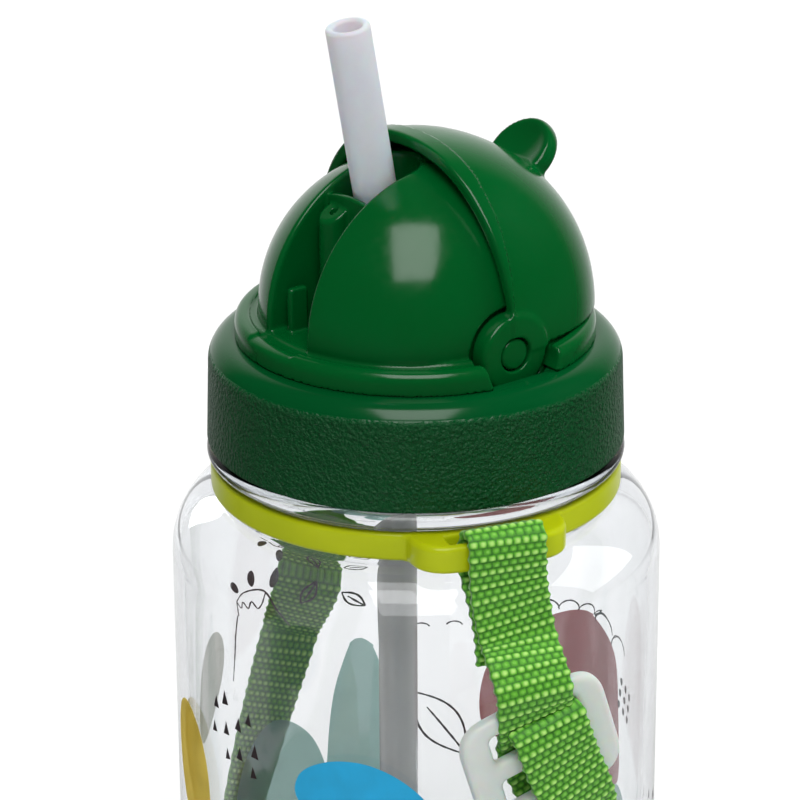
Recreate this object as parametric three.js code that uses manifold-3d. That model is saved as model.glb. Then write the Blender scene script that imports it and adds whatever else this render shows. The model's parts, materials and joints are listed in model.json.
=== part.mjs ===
// Child's flip-straw water bottle with a webbing shoulder strap.
// Millimetres, +Z up, origin at the centre of the base. The hinge axis of the flip cover runs along X and
// the spout folds towards -Y, the front.
import * as THREE from 'three';
import { mergeVertices } from 'three/addons/utils/BufferGeometryUtils.js';
import Module from 'manifold-3d';

const wasm = await Module();
wasm.setup();

// ---- driving dimensions ------------------------------------------------------------------------------
const GAP = 0.3; // clearance between pieces that touch
const ROUND = 48; // facets round a large turned piece
const FINE = 16; // facets round a small turned piece

const BODY_R = 37.5; // outside of the clear body
const WALL = 2; // body wall
const SHOULDER_Z = 107.5; // where the straight side ends
const NECK_FOOT_Z = 117.4; // where the shoulder meets the neck
const NECK_R = 28.9; // outside of the threaded neck
const NECK_BORE_R = 26.6;
const NECK_TOP = 136.2;
const BEAD_R = 31.8; // round bead under the cap
const BEAD_Z = 124.4;
const BEAD_HALF = 1.4;
const RING_GROOVE_R = 29.6; // neck under the bead, where the strap ring sits

const CAP_R = 31.73; // grained skirt of the screw cap
const CAP_Z = 126;
const CAP_SHOULDER_Z = 138.5;
const CAP_SHOULDER_R = 31.3; // the skirt narrows to this
const CAP_SHOULDER_IN = 4.2; // how far the rounding runs in over the top
const CAP_TOP = 142.4;
const CAP_BORE_R = 30.5;
const CAP_HOLE_R = 24.3;
const CAP_PLATE = 3.8; // thick enough for the notches that the hinge bosses sit in
const THREAD_PITCH = 4;
const THREAD_RISE = 0.6;
const THREAD_ROOT = 0.25; // how far a ridge is sunk into its wall
const NECK_THREAD_Z = 128.5;
const NECK_THREAD_TURNS = 1.6;
const CAP_THREAD_Z = 129.5;
const CAP_THREAD_TURNS = 1.4;

const PLUG_R = 24; // of the housing, through the hole in the cap
const PLUG_FLANGE_R = 25.6; // under the cap's plate
const PLUG_LOW = 136.6;
const TIER_R = 27.2; // raised ring that carries the dome
const TIER_TOP = 146;
const DOME_R = 23.6;
const DOME_Z = 146.5;
const DOME_WALL = 1.8;
const SLOT_LEFT_X = -5.7;
const SLOT_RIGHT_X = 4;
const SLOT_BACK_Y = -4.4; // centre of the slot's round back end
const SLOT_FLOOR = 145.7;

const HINGE_Z = 145.8;
const COVER_R = 27.5; // outside radius in the middle plane
const COVER_HALF_X = 24.2;
const COVER_POWER = 2.2; // fullness of the cover's outline
const COVER_WALL = 1.6;
const COVER_RIM_LEAN = 4.3; // degrees the open rim leans forward of upright
const COVER_TAIL_Z = 146.4; // lower back edge of the open cover
const RIM_BEAD = 0.35; // raised band round the open rim
const RIM_BAND_LEAN = 3.7; // degrees the band's rear step leans back of upright
const RIM_BAND_AHEAD = 0.5; // that step at the hinge, forward of the axis
const BOSS_R = 5.9;
const BOSS_IN_X = 20.9;
const BOSS_OUT_X = 24.2;
const PIN_R = 2.35;
const PIN_IN_X = 17.6;
const PIN_BLOCK_X = 16.5; // solid block in the dome's side that holds the pin
const PIN_BLOCK_HALF = 8.2;
const POCKET_X = 20.6; // flat beside the dome that the boss turns in
const POCKET_FLOOR = 139.6;
const POCKET_R = 7.6;

const TAB_R = 6; // thumb tab, a dished disc that stands out of the back of the cover
const TAB_THICK = 3.2;
const TAB_OUT = 28.8; // from the hinge axis to the disc's centre
const TAB_BACK = 45; // degrees behind upright
const DISH_R = 13.6;
const DISH_DEEP = 1;

const SPOUT_R = 3.3;
const SPOUT_BORE_R = 2.1;
const SPOUT_LEAN = 10.3; // degrees forward of upright
const SPOUT_FOOT = new THREE.Vector3(0, -4.4, 150); // a point on the spout's centre line
const SPOUT_KNEES = [14, 19, 26]; // distances from the foot point to the three bends
const SPOUT_END = 42.8;
const SOCKET_Y = -3.6;
const GROMMET_R = 3.9;
const FLANGE_R = 3.6;
const STRAW_R = 3;
const STRAW_BORE_R = 2.3;
const STRAW_LOW = 8;
const STRAW_TOP = 144.4;
const VENT_X = -2.8;
const VENT_Y = -12.75;
const VENT_R = 2.3;
const VENT_TOP = 163.5; // where the slanted top crosses the post's axis
const CROSS_WALL_FRONT_Y = -11.9; // wall across the slot between the post and the spout
const CROSS_WALL_BACK_Y = -10.9;
const CROSS_WALL_ARCH_Z = 145.1; // centre of its arched top
const CROSS_WALL_ARCH_R = 20.7;
const VENT_HOLE_R = 0.45;
const VENT_SLANT = 30; // degrees that the post's top faces forward
const VALVE_R = 3;
const VALVE_STEM_R = 1.2;
const SHELF_LEFT_X = -4.7; // stop rib in the slot, beside the folded spout
const SHELF_INNER_X = -3.4;
const SHELF_FRONT_Y = -20.4;
const SHELF_BACK_Y = -17.2;
const SHELF_TOP = 152.4;

const RING_LOW = 118.3;
const RING_HIGH = 122.6;
const RING_OUT_R = 31.3;
const LUG_ANGLE = -17.4; // degrees from +X
const LUG_R = 36;
const LUG_HALF = 12;
const LUG_SLOT_HALF = 7;
const LUG_BAR = 1.8;

const STRAP_WIDTH = 12;
const STRAP_THICK = 1.4;
const SLIDER_WIDTH = 24;
const SLIDER_HEIGHT = 18;
const SLIDER_THICK = 2.4;
const SLIDER_ROUND = 3; // corner radius
const SLIDER_SLOT_HALF = 7.4;
const SLIDER_SLOT_RISE = 2.3; // half the height of each slot
const SLIDER_SLOT_AT = 3.9; // from the middle bar's centre to a slot's centre
const SLIDER_ANGLE = -11.6; // degrees from +X
const SLIDER_Z = 91;
const SLIDER_R = 41.6;
const SLIDER_TILT = 17; // degrees, with the strap's slant
const COIL_IN_R = 41;
const COIL_OUT_R = 69;
const COIL_LOW = 0.7;
const COIL_HIGH = 13;

// ---- shape helpers -----------------------------------------------------------------------------------
const rad = THREE.MathUtils.degToRad;

// A closed geometry as a solid: shared corners merged, slivers dropped, faces turned outwards.
function solid(geometry) {
  const bare = geometry.clone();
  bare.deleteAttribute('normal');
  bare.deleteAttribute('uv');
  const merged = mergeVertices(bare, 1e-4);
  const index = merged.index.array;
  const position = merged.attributes.position;
  const triangles = [];
  let volume = 0;
  const corner = [new THREE.Vector3(), new THREE.Vector3(), new THREE.Vector3()];
  for (let i = 0; i < index.length; i += 3) {
    const [a, b, c] = [index[i], index[i + 1], index[i + 2]];
    if (a === b || b === c || c === a) continue;
    triangles.push(a, b, c);
    corner.forEach((point, k) => point.fromBufferAttribute(position, index[i + k]));
    volume += corner[0].dot(corner[1].cross(corner[2]));
  }
  if (volume < 0) triangles.reverse();
  return new wasm.Manifold(new wasm.Mesh({
    numProp: 3,
    vertProperties: new Float32Array(position.array),
    triVerts: new Uint32Array(triangles),
  }));
}

function geometryOf(manifold) {
  const mesh = manifold.getMesh();
  const geometry = new THREE.BufferGeometry();
  geometry.setAttribute('position', new THREE.BufferAttribute(mesh.vertProperties, 3));
  geometry.setIndex(new THREE.BufferAttribute(mesh.triVerts, 1));
  geometry.computeVertexNormals();
  return geometry;
}

// Turned piece about Z from [radius, height] points that start and end on the axis or close on themselves.
function turned(outline, facets = ROUND) {
  const closes = outline[0][0] > 0;
  const points = (closes ? [...outline, outline[0]] : outline).map(([r, z]) => new THREE.Vector2(r, z));
  return solid(new THREE.LatheGeometry(points, facets).rotateX(Math.PI / 2));
}

// Quarter of an ellipse about [centreR, centreZ] from angle a to b in degrees, as [radius, height] points.
function sweepPoints(centreR, centreZ, radiusR, radiusZ, a, b, steps) {
  return Array.from({ length: steps + 1 }, (_, i) => {
    const t = rad(a + ((b - a) * i) / steps);
    return [centreR + radiusR * Math.cos(t), centreZ + radiusZ * Math.sin(t)];
  });
}

function rodBetween(start, end, radius, facets = FINE) {
  const along = new THREE.Vector3().subVectors(end, start);
  const rod = new THREE.CylinderGeometry(radius, radius, along.length(), facets);
  const upright = new THREE.Vector3(0, 1, 0);
  const turn = new THREE.Quaternion().setFromUnitVectors(upright, along.clone().normalize());
  const middle = new THREE.Vector3().addVectors(start, end).multiplyScalar(0.5);
  return solid(rod.applyQuaternion(turn).translate(middle.x, middle.y, middle.z));
}

function uprightRod(x, y, low, high, radius, facets = FINE) {
  return rodBetween(new THREE.Vector3(x, y, low), new THREE.Vector3(x, y, high), radius, facets);
}

function crossRod(x0, x1, radius, facets = 24) {
  return rodBetween(new THREE.Vector3(x0, 0, HINGE_Z), new THREE.Vector3(x1, 0, HINGE_Z), radius, facets);
}

function block(x0, x1, y0, y1, z0, z1) {
  const box = new THREE.BoxGeometry(x1 - x0, y1 - y0, z1 - z0);
  return solid(box.translate((x0 + x1) / 2, (y0 + y1) / 2, (z0 + z1) / 2));
}

function polar(radius, degrees, z) {
  return new THREE.Vector3(radius * Math.cos(rad(degrees)), radius * Math.sin(rad(degrees)), z);
}

// Helical thread ridge that points outwards, or inwards with side -1.
function threadRidge(radius, lowZ, turns, side) {
  class Helix extends THREE.Curve {
    getPoint(t, target = new THREE.Vector3()) {
      const angle = 2 * Math.PI * turns * t;
      return target.set(radius * Math.cos(angle), radius * Math.sin(angle), lowZ + THREAD_PITCH * turns * t);
    }
  }
  const helix = new Helix();
  const steps = Math.round(turns * 32);
  const root = -side * THREAD_ROOT;
  const crest = side * THREAD_RISE;
  const corners = [[root, -0.9], [crest, -0.2], [crest, 0.2], [root, 0.9]];
  return sweptStrip(
    Array.from({ length: steps + 1 }, (_, i) => helix.getPoint(i / steps)),
    (point) => new THREE.Vector3(point.x, point.y, 0).normalize(),
    corners,
  );
}

// Sweeps a polygon section along points. outwardAt gives the section's first axis, and the second lies across
// both it and the path.
function sweptStrip(points, outwardAt, section) {
  const vertices = [];
  const faces = [];
  const sides = section.length;
  points.forEach((point, i) => {
    const before = points[Math.max(i - 1, 0)];
    const after = points[Math.min(i + 1, points.length - 1)];
    const tangent = new THREE.Vector3().subVectors(after, before).normalize();
    const out = outwardAt(point);
    const across = new THREE.Vector3().crossVectors(out, tangent).normalize();
    const normal = new THREE.Vector3().crossVectors(tangent, across);
    section.forEach(([u, v]) => {
      vertices.push(...point.clone().addScaledVector(normal, u).addScaledVector(across, v).toArray());
    });
    if (i === 0) return;
    for (let k = 0; k < sides; k += 1) {
      const a = (i - 1) * sides + k;
      const b = (i - 1) * sides + ((k + 1) % sides);
      faces.push(a, b, a + sides, b, b + sides, a + sides);
    }
  });
  const last = (points.length - 1) * sides;
  for (let k = 1; k < sides - 1; k += 1) {
    faces.push(0, k + 1, k, last, last + k, last + k + 1);
  }
  const geometry = new THREE.BufferGeometry();
  geometry.setAttribute('position', new THREE.Float32BufferAttribute(vertices, 3));
  geometry.setIndex(faces);
  return solid(geometry);
}

// ---- assembly ----------------------------------------------------------------------------------------
const group = new THREE.Group();

function add(name, manifold, color, roughness, extra = {}) {
  const material = new THREE.MeshStandardMaterial({ color, roughness, metalness: 0, ...extra });
  const mesh = new THREE.Mesh(geometryOf(manifold), material);
  mesh.name = name;
  group.add(mesh);
}

const GREEN = 0x00561f;
const LIME = 0xb4c31e;
const WEBBING = 0x78c832;
const SILICONE = 0xcdd2dc;
const CLEAR = { transparent: true, opacity: 0.35 };

// ---- bottle body: base, straight side, shoulder, strap groove, bead and threaded neck ----------------
function bottleBody() {
  const shoulderRise = NECK_FOOT_Z - SHOULDER_Z;
  const outer = [
    [0, 3],
    [20, 2.4],
    [28, 0],
    [33, 0],
    ...sweepPoints(33, 4.5, BODY_R - 33, 4.5, -60, 0, 3),
    ...sweepPoints(RING_GROOVE_R, SHOULDER_Z, BODY_R - RING_GROOVE_R, shoulderRise, 0, 90, 7),
    [RING_GROOVE_R, BEAD_Z - BEAD_HALF],
    ...sweepPoints(RING_GROOVE_R, BEAD_Z, BEAD_R - RING_GROOVE_R, BEAD_HALF, -60, 60, 4),
    [NECK_R, BEAD_Z + BEAD_HALF],
    [NECK_R, NECK_TOP - 0.6],
    [NECK_R - 0.6, NECK_TOP],
  ];
  const innerRoof = sweepPoints(
    NECK_BORE_R, SHOULDER_Z - 0.5, BODY_R - WALL - NECK_BORE_R, shoulderRise - 1.4, 90, 0, 6,
  );
  const inner = [
    [NECK_BORE_R, NECK_TOP],
    ...innerRoof,
    ...sweepPoints(31, 8, BODY_R - WALL - 31, 4.5, 0, -90, 3),
    [0, 5.2],
  ];
  const threaded = threadRidge(NECK_R, NECK_THREAD_Z, NECK_THREAD_TURNS, 1);
  return turned([...outer, ...inner]).add(threaded);
}
add('bottle_body', bottleBody(), 0xeef4f6, 0.05, CLEAR);

// ---- strap ring with two slotted lugs ----------------------------------------------------------------
function strapRing() {
  const innerR = RING_GROOVE_R + GAP;
  let ring = turned([
    [innerR, RING_LOW],
    [RING_OUT_R - 0.4, RING_LOW],
    [RING_OUT_R, RING_LOW + 0.4],
    [RING_OUT_R, RING_HIGH - 0.4],
    [RING_OUT_R - 0.4, RING_HIGH],
    [innerR, RING_HIGH],
  ]);
  const outline = new THREE.Shape();
  outline.moveTo(RING_GROOVE_R + 1, -LUG_HALF);
  outline.lineTo(LUG_R - 3.6, -LUG_HALF);
  outline.quadraticCurveTo(LUG_R - 0.9, -LUG_HALF + 0.2, LUG_R - 0.5, -LUG_HALF + 4);
  outline.quadraticCurveTo(LUG_R + 0.5, 0, LUG_R - 0.5, LUG_HALF - 4);
  outline.quadraticCurveTo(LUG_R - 0.9, LUG_HALF - 0.2, LUG_R - 3.6, LUG_HALF);
  outline.lineTo(RING_GROOVE_R + 1, LUG_HALF);
  const height = RING_HIGH - RING_LOW;
  for (const turn of [LUG_ANGLE, LUG_ANGLE + 180]) {
    const lug = new THREE.ExtrudeGeometry(outline, { depth: height, bevelEnabled: false, curveSegments: 5 });
    const slotIn = RING_OUT_R + 0.1;
    const slotOut = LUG_R - LUG_BAR;
    const slot = new THREE.BoxGeometry(slotOut - slotIn, 2 * LUG_SLOT_HALF, 20);
    lug.translate(0, 0, RING_LOW).rotateZ(rad(turn));
    slot.translate((slotIn + slotOut) / 2, 0, RING_LOW).rotateZ(rad(turn));
    const bore = turned([[0, 100], [innerR, 100], [innerR, 140], [0, 140]]);
    ring = ring.add(solid(lug).subtract(solid(slot)).subtract(bore));
  }
  return ring;
}
add('strap_ring', strapRing(), LIME, 0.3);

// ---- screw cap ---------------------------------------------------------------------------------------
function bossRelief() {
  const relief = crossRod(BOSS_IN_X - 0.4, BOSS_OUT_X + 0.5, BOSS_R + 0.6);
  return relief.add(crossRod(-BOSS_OUT_X - 0.5, -BOSS_IN_X + 0.4, BOSS_R + 0.6));
}

function lidCollar() {
  const outline = [
    [CAP_R - 0.4, CAP_Z],
    [CAP_R, CAP_Z + 0.5],
    ...sweepPoints(
      CAP_SHOULDER_R - CAP_SHOULDER_IN, CAP_SHOULDER_Z, CAP_SHOULDER_IN, CAP_TOP - CAP_SHOULDER_Z, 0, 90, 6,
    ),
    [CAP_HOLE_R, CAP_TOP],
    [CAP_HOLE_R, CAP_TOP - CAP_PLATE],
    [CAP_BORE_R, CAP_TOP - CAP_PLATE],
    [CAP_BORE_R, CAP_Z],
  ];
  const ridge = threadRidge(CAP_BORE_R, CAP_THREAD_Z, CAP_THREAD_TURNS, -1);
  return turned(outline).add(ridge).subtract(bossRelief());
}
add('lid_collar', lidCollar(), GREEN, 0.35);

add('lid_seal', turned([
  [NECK_BORE_R + 0.2, NECK_TOP + GAP],
  [CAP_BORE_R - 0.5, NECK_TOP + GAP],
  [CAP_BORE_R - 0.5, CAP_TOP - CAP_PLATE - GAP],
  [NECK_BORE_R + 0.2, CAP_TOP - CAP_PLATE - GAP],
]), SILICONE, 0.6);

// ---- spout housing: tier, split dome, slot, vent post and latch shelf --------------------------------
function coverProfile(inset) {
  const half = COVER_HALF_X - inset;
  const radius = COVER_R - inset;
  const steps = 16;
  return Array.from({ length: steps + 1 }, (_, i) => {
    const t = (Math.PI * i) / steps;
    const x = -half * Math.sign(Math.cos(t)) * Math.abs(Math.cos(t)) ** (2 / COVER_POWER);
    return [i === 0 || i === steps ? 0 : radius * Math.sin(t) ** (2 / COVER_POWER), x];
  });
}

// The cover's outline turned about the hinge axis, inset from its outer face.
function coverEnvelope(inset, facets = ROUND) {
  const points = coverProfile(inset).map(([r, x]) => new THREE.Vector2(r, x));
  const body = new THREE.LatheGeometry(points, facets).rotateZ(-Math.PI / 2);
  return solid(body.translate(0, 0, HINGE_Z));
}

function spoutHousing() {
  const tier = turned([
    [0, PLUG_LOW],
    [PLUG_FLANGE_R, PLUG_LOW],
    [PLUG_FLANGE_R, CAP_TOP - CAP_PLATE - GAP],
    [PLUG_R, CAP_TOP - CAP_PLATE - GAP],
    [PLUG_R, CAP_TOP + GAP],
    [TIER_R, CAP_TOP + GAP],
    [TIER_R, TIER_TOP - 1.5],
    [TIER_R - 0.5, TIER_TOP - 0.5],
    [TIER_R - 1.5, TIER_TOP],
    [0, TIER_TOP],
  ]);
  const dome = turned([
    [0, DOME_Z - 2],
    [DOME_R, DOME_Z - 2],
    ...sweepPoints(0, DOME_Z, DOME_R, DOME_R, 0, 90, 14).slice(0, -1),
    [0, DOME_Z + DOME_R],
  ]);
  const hollowR = DOME_R - DOME_WALL;
  const hollow = turned([
    [0, NECK_TOP],
    [hollowR, NECK_TOP],
    ...sweepPoints(0, DOME_Z, hollowR, hollowR, 0, 90, 10).slice(0, -1),
    [0, DOME_Z + hollowR],
  ], 36);
  const slotMiddle = (SLOT_LEFT_X + SLOT_RIGHT_X) / 2;
  const slotHalf = (SLOT_RIGHT_X - SLOT_LEFT_X) / 2;
  const wallHalf = slotHalf + DOME_WALL;
  const wallLeft = SLOT_LEFT_X - DOME_WALL;
  const wallRight = SLOT_RIGHT_X + DOME_WALL;
  const slotBlock = block(wallLeft, wallRight, -30, SLOT_BACK_Y, SLOT_FLOOR - DOME_WALL, 180)
    .add(uprightRod(slotMiddle, SLOT_BACK_Y, SLOT_FLOOR - DOME_WALL, 180, wallHalf, 24));
  const pinBlockTop = HINGE_Z + PIN_BLOCK_HALF;
  const pinBlocks = block(-30, -PIN_BLOCK_X, -PIN_BLOCK_HALF, PIN_BLOCK_HALF, 130, pinBlockTop)
    .add(block(PIN_BLOCK_X, 30, -PIN_BLOCK_HALF, PIN_BLOCK_HALF, 130, pinBlockTop));
  const slot = block(SLOT_LEFT_X, SLOT_RIGHT_X, -30, SLOT_BACK_Y, SLOT_FLOOR, 180)
    .add(uprightRod(slotMiddle, SLOT_BACK_Y, SLOT_FLOOR, 180, slotHalf, 24));
  const slantCut = new THREE.BoxGeometry(20, 20, 10).translate(0, 0, 5).rotateX(rad(VENT_SLANT));
  const post = uprightRod(VENT_X, VENT_Y, SLOT_FLOOR - 1, VENT_TOP + 3, VENT_R)
    .subtract(solid(slantCut.translate(VENT_X, VENT_Y, VENT_TOP)))
    .subtract(uprightRod(VENT_X, VENT_Y, VENT_TOP - 5, VENT_TOP + 3, VENT_HOLE_R, 8));
  const archFront = new THREE.Vector3(0, CROSS_WALL_FRONT_Y, CROSS_WALL_ARCH_Z);
  const archBack = new THREE.Vector3(0, CROSS_WALL_BACK_Y, CROSS_WALL_ARCH_Z);
  const crossWall = rodBetween(archFront, archBack, CROSS_WALL_ARCH_R, 72)
    .intersect(block(wallLeft, wallRight, -30, 0, SLOT_FLOOR - 1, 180));
  const shelf = block(SHELF_LEFT_X, SHELF_INNER_X, SHELF_FRONT_Y, SHELF_BACK_Y, SLOT_FLOOR - 1, SHELF_TOP);
  const overFloor = block(-40, 40, -40, 40, POCKET_FLOOR, 180);
  const pocket = crossRod(POCKET_X, 30, POCKET_R)
    .add(crossRod(-30, -POCKET_X, POCKET_R))
    .intersect(overFloor);
  const pinBoreIn = PIN_IN_X - 0.4;
  const overDome = block(-40, 40, -40, 40, TIER_TOP, 180);
  return tier.add(dome)
    .subtract(hollow.subtract(slotBlock).subtract(pinBlocks))
    .subtract(slot)
    .add(post)
    .add(crossWall)
    .add(shelf)
    .subtract(pocket)
    .subtract(overDome.subtract(coverEnvelope(COVER_WALL + 0.4)))
    .subtract(crossRod(pinBoreIn, 30, PIN_R + GAP))
    .subtract(crossRod(-30, -pinBoreIn, PIN_R + GAP))
    .subtract(uprightRod(0, SOCKET_Y, 130, SLOT_FLOOR + 0.01, GROMMET_R + GAP, 20));
}
add('spout_housing', spoutHousing(), GREEN, 0.25);

add('vent_valve', turned([
  [0, 140.2],
  [VALVE_STEM_R, 140.2],
  [VALVE_STEM_R, 142.2],
  [VALVE_R, 142.6],
  [VALVE_R, SLOT_FLOOR - DOME_WALL - GAP],
  [0, SLOT_FLOOR - DOME_WALL - GAP],
], FINE).translate([VENT_X, VENT_Y, 0]), SILICONE, 0.6);

// ---- flip cover, drawn open, with its thumb tab ------------------------------------------------------
function thumbTab() {
  const out = new THREE.Vector3(0, Math.sin(rad(TAB_BACK)), Math.cos(rad(TAB_BACK)));
  const face = new THREE.Vector3(0, -Math.cos(rad(TAB_BACK)), Math.sin(rad(TAB_BACK)));
  const centre = new THREE.Vector3(0, 0, HINGE_Z).addScaledVector(out, TAB_OUT);
  const back = centre.clone().addScaledVector(face, -TAB_THICK / 2);
  const front = centre.clone().addScaledVector(face, TAB_THICK / 2);
  const dishAt = front.clone().addScaledVector(face, DISH_R - DISH_DEEP).addScaledVector(out, 0.8);
  const dish = new THREE.SphereGeometry(DISH_R, 24, 16).translate(dishAt.x, dishAt.y, dishAt.z);
  return rodBetween(back, front, TAB_R, 28).subtract(solid(dish));
}

function flipCover() {
  const lean = rad(COVER_RIM_LEAN);
  const half = new THREE.BoxGeometry(80, 60, 80).translate(0, -30, 0).rotateX(lean).translate(0, 0, HINGE_Z);
  const front = solid(half);
  const under = block(-40, 40, -40, 40, 60, COVER_TAIL_Z);
  const bosses = crossRod(BOSS_IN_X, BOSS_OUT_X, BOSS_R).add(crossRod(-BOSS_OUT_X, -BOSS_IN_X, BOSS_R));
  const behindBand = new THREE.BoxGeometry(80, 60, 80).translate(0, 30, 0).rotateX(rad(-RIM_BAND_LEAN));
  const bead = coverEnvelope(-RIM_BEAD)
    .subtract(coverEnvelope(COVER_WALL))
    .subtract(solid(behindBand.translate(0, -RIM_BAND_AHEAD, HINGE_Z)));
  return coverEnvelope(0)
    .add(thumbTab())
    .subtract(coverEnvelope(COVER_WALL))
    .add(bead)
    .subtract(front)
    .subtract(under)
    .add(bosses)
    .subtract(crossRod(-40, 40, PIN_R + GAP));
}
add('flip_cover', flipCover(), GREEN, 0.2);

for (const [name, side] of [['pivot_pin_left', -1], ['pivot_pin_right', 1]]) {
  const ends = [side * PIN_IN_X, side * (BOSS_OUT_X - 0.1)].sort((a, b) => a - b);
  add(name, crossRod(ends[0], ends[1], PIN_R), GREEN, 0.3);
}

// ---- soft spout: root with its grommet, two elbow pieces and the drinking tube -----------------------
const spoutLine = new THREE.Vector3(0, -Math.sin(rad(SPOUT_LEAN)), Math.cos(rad(SPOUT_LEAN)));

function spoutPoint(distance) {
  return SPOUT_FOOT.clone().addScaledVector(spoutLine, distance);
}

function spoutPiece(from, to) {
  return rodBetween(spoutPoint(from), spoutPoint(to), SPOUT_R, 20)
    .subtract(rodBetween(spoutPoint(from - 1), spoutPoint(to + 1), SPOUT_BORE_R, FINE));
}

function spoutRoot() {
  const flange = uprightRod(0, SOCKET_Y, SLOT_FLOOR - 1, 147.4, FLANGE_R, 24);
  const grommet = uprightRod(0, SOCKET_Y, 139.6, SLOT_FLOOR - 0.1, GROMMET_R, 20);
  const neck = rodBetween(spoutPoint(-3.4), spoutPoint(SPOUT_KNEES[0] - GAP / 2), SPOUT_R, 20);
  return grommet.add(flange).add(neck)
    .subtract(rodBetween(spoutPoint(-6), spoutPoint(SPOUT_KNEES[0] + 1), SPOUT_BORE_R, FINE))
    .subtract(uprightRod(0, SOCKET_Y, 130, STRAW_TOP + GAP, STRAW_R + GAP));
}
add('spout_root', spoutRoot(), SILICONE, 0.45);

const spoutNames = ['spout_elbow_lower', 'spout_elbow_upper', 'spout_tube'];
spoutNames.forEach((name, i) => {
  const last = i === spoutNames.length - 1;
  const to = last ? SPOUT_END : SPOUT_KNEES[i + 1] - GAP / 2;
  add(name, spoutPiece(SPOUT_KNEES[i] + GAP / 2, to), SILICONE, 0.45);
});

add('lower_straw', uprightRod(0, SOCKET_Y, STRAW_LOW, STRAW_TOP, STRAW_R)
  .subtract(uprightRod(0, SOCKET_Y, STRAW_LOW - 1, STRAW_TOP + 1, STRAW_BORE_R)), 0xd8dcde, 0.3, CLEAR);

// ---- webbing strap: a run down from each lug, the slider and its loose tail, and the coil at the foot ---
// Each run is a list of [degrees round from its lug, height, radius].
const RUN = [
  [0.8, 121.4, LUG_R + 1.4],
  [1, 116, 37.6],
  [2.6, 108, 38.7],
  [4.4, 99, 38.9],
  [7, 90, 38.9],
  [13, 80, 38.9],
  [19.5, 69, 38.9],
  [26.5, 58, 38.9],
  [35, 46, 38.9],
  [45, 34, 38.9],
  [56, 25, 39.6],
  [66, 20.4, 41.5],
  [74, 19.4, 44],
];
const STRAP_SECTION = [
  [-STRAP_THICK / 2, -STRAP_WIDTH / 2],
  [STRAP_THICK / 2, -STRAP_WIDTH / 2],
  [STRAP_THICK / 2, STRAP_WIDTH / 2],
  [-STRAP_THICK / 2, STRAP_WIDTH / 2],
];

function strapRun(turn) {
  const curve = new THREE.CatmullRomCurve3(RUN.map(([angle, z, r]) => polar(r, angle + turn, z)));
  const outward = (point) => new THREE.Vector3(point.x, point.y, 0).normalize();
  return sweptStrip(curve.getSpacedPoints(30), outward, STRAP_SECTION);
}
add('strap_front_run', strapRun(LUG_ANGLE), WEBBING, 0.8);
add('strap_back_run', strapRun(LUG_ANGLE + 180), WEBBING, 0.8);

add('strap_coil', turned([
  [COIL_IN_R, COIL_LOW],
  [COIL_OUT_R, COIL_LOW],
  [COIL_OUT_R, COIL_HIGH],
  [COIL_IN_R, COIL_HIGH],
]), WEBBING, 0.8);

function placedOnStrap(geometry, radius, z, angle) {
  // The flat faces +X; it tips with the strap, moves out and swings round the bottle.
  return solid(geometry.rotateX(rad(SLIDER_TILT)).translate(radius, 0, z).rotateZ(rad(angle)));
}

function strapSlider() {
  const w = SLIDER_WIDTH / 2;
  const h = SLIDER_HEIGHT / 2;
  const r = SLIDER_ROUND;
  const plate = new THREE.Shape();
  plate.moveTo(-w + r, -h);
  plate.lineTo(w - r, -h);
  plate.absarc(w - r, -h + r, r, -Math.PI / 2, 0);
  plate.absarc(w - r, h - r, r, 0, Math.PI / 2);
  plate.absarc(-w + r, h - r, r, Math.PI / 2, Math.PI);
  plate.absarc(-w + r, -h + r, r, Math.PI, 1.5 * Math.PI);
  for (const middle of [-SLIDER_SLOT_AT, SLIDER_SLOT_AT]) {
    const slot = new THREE.Path();
    slot.moveTo(-SLIDER_SLOT_HALF, middle - SLIDER_SLOT_RISE);
    slot.lineTo(-SLIDER_SLOT_HALF, middle + SLIDER_SLOT_RISE);
    slot.lineTo(SLIDER_SLOT_HALF, middle + SLIDER_SLOT_RISE);
    slot.lineTo(SLIDER_SLOT_HALF, middle - SLIDER_SLOT_RISE);
    slot.closePath();
    plate.holes.push(slot);
  }
  const cut = { depth: SLIDER_THICK, bevelEnabled: false, curveSegments: 4 };
  const body = new THREE.ExtrudeGeometry(plate, cut);
  // Width along Y, height along Z, thickness along X.
  body.translate(0, 0, -SLIDER_THICK / 2).rotateX(Math.PI / 2).rotateZ(Math.PI / 2);
  return placedOnStrap(body, SLIDER_R, SLIDER_Z, SLIDER_ANGLE);
}
add('strap_slider', strapSlider(), 0xe1ebe6, 0.35);

export default group;
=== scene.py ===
import json
import math
from functools import partial

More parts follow.
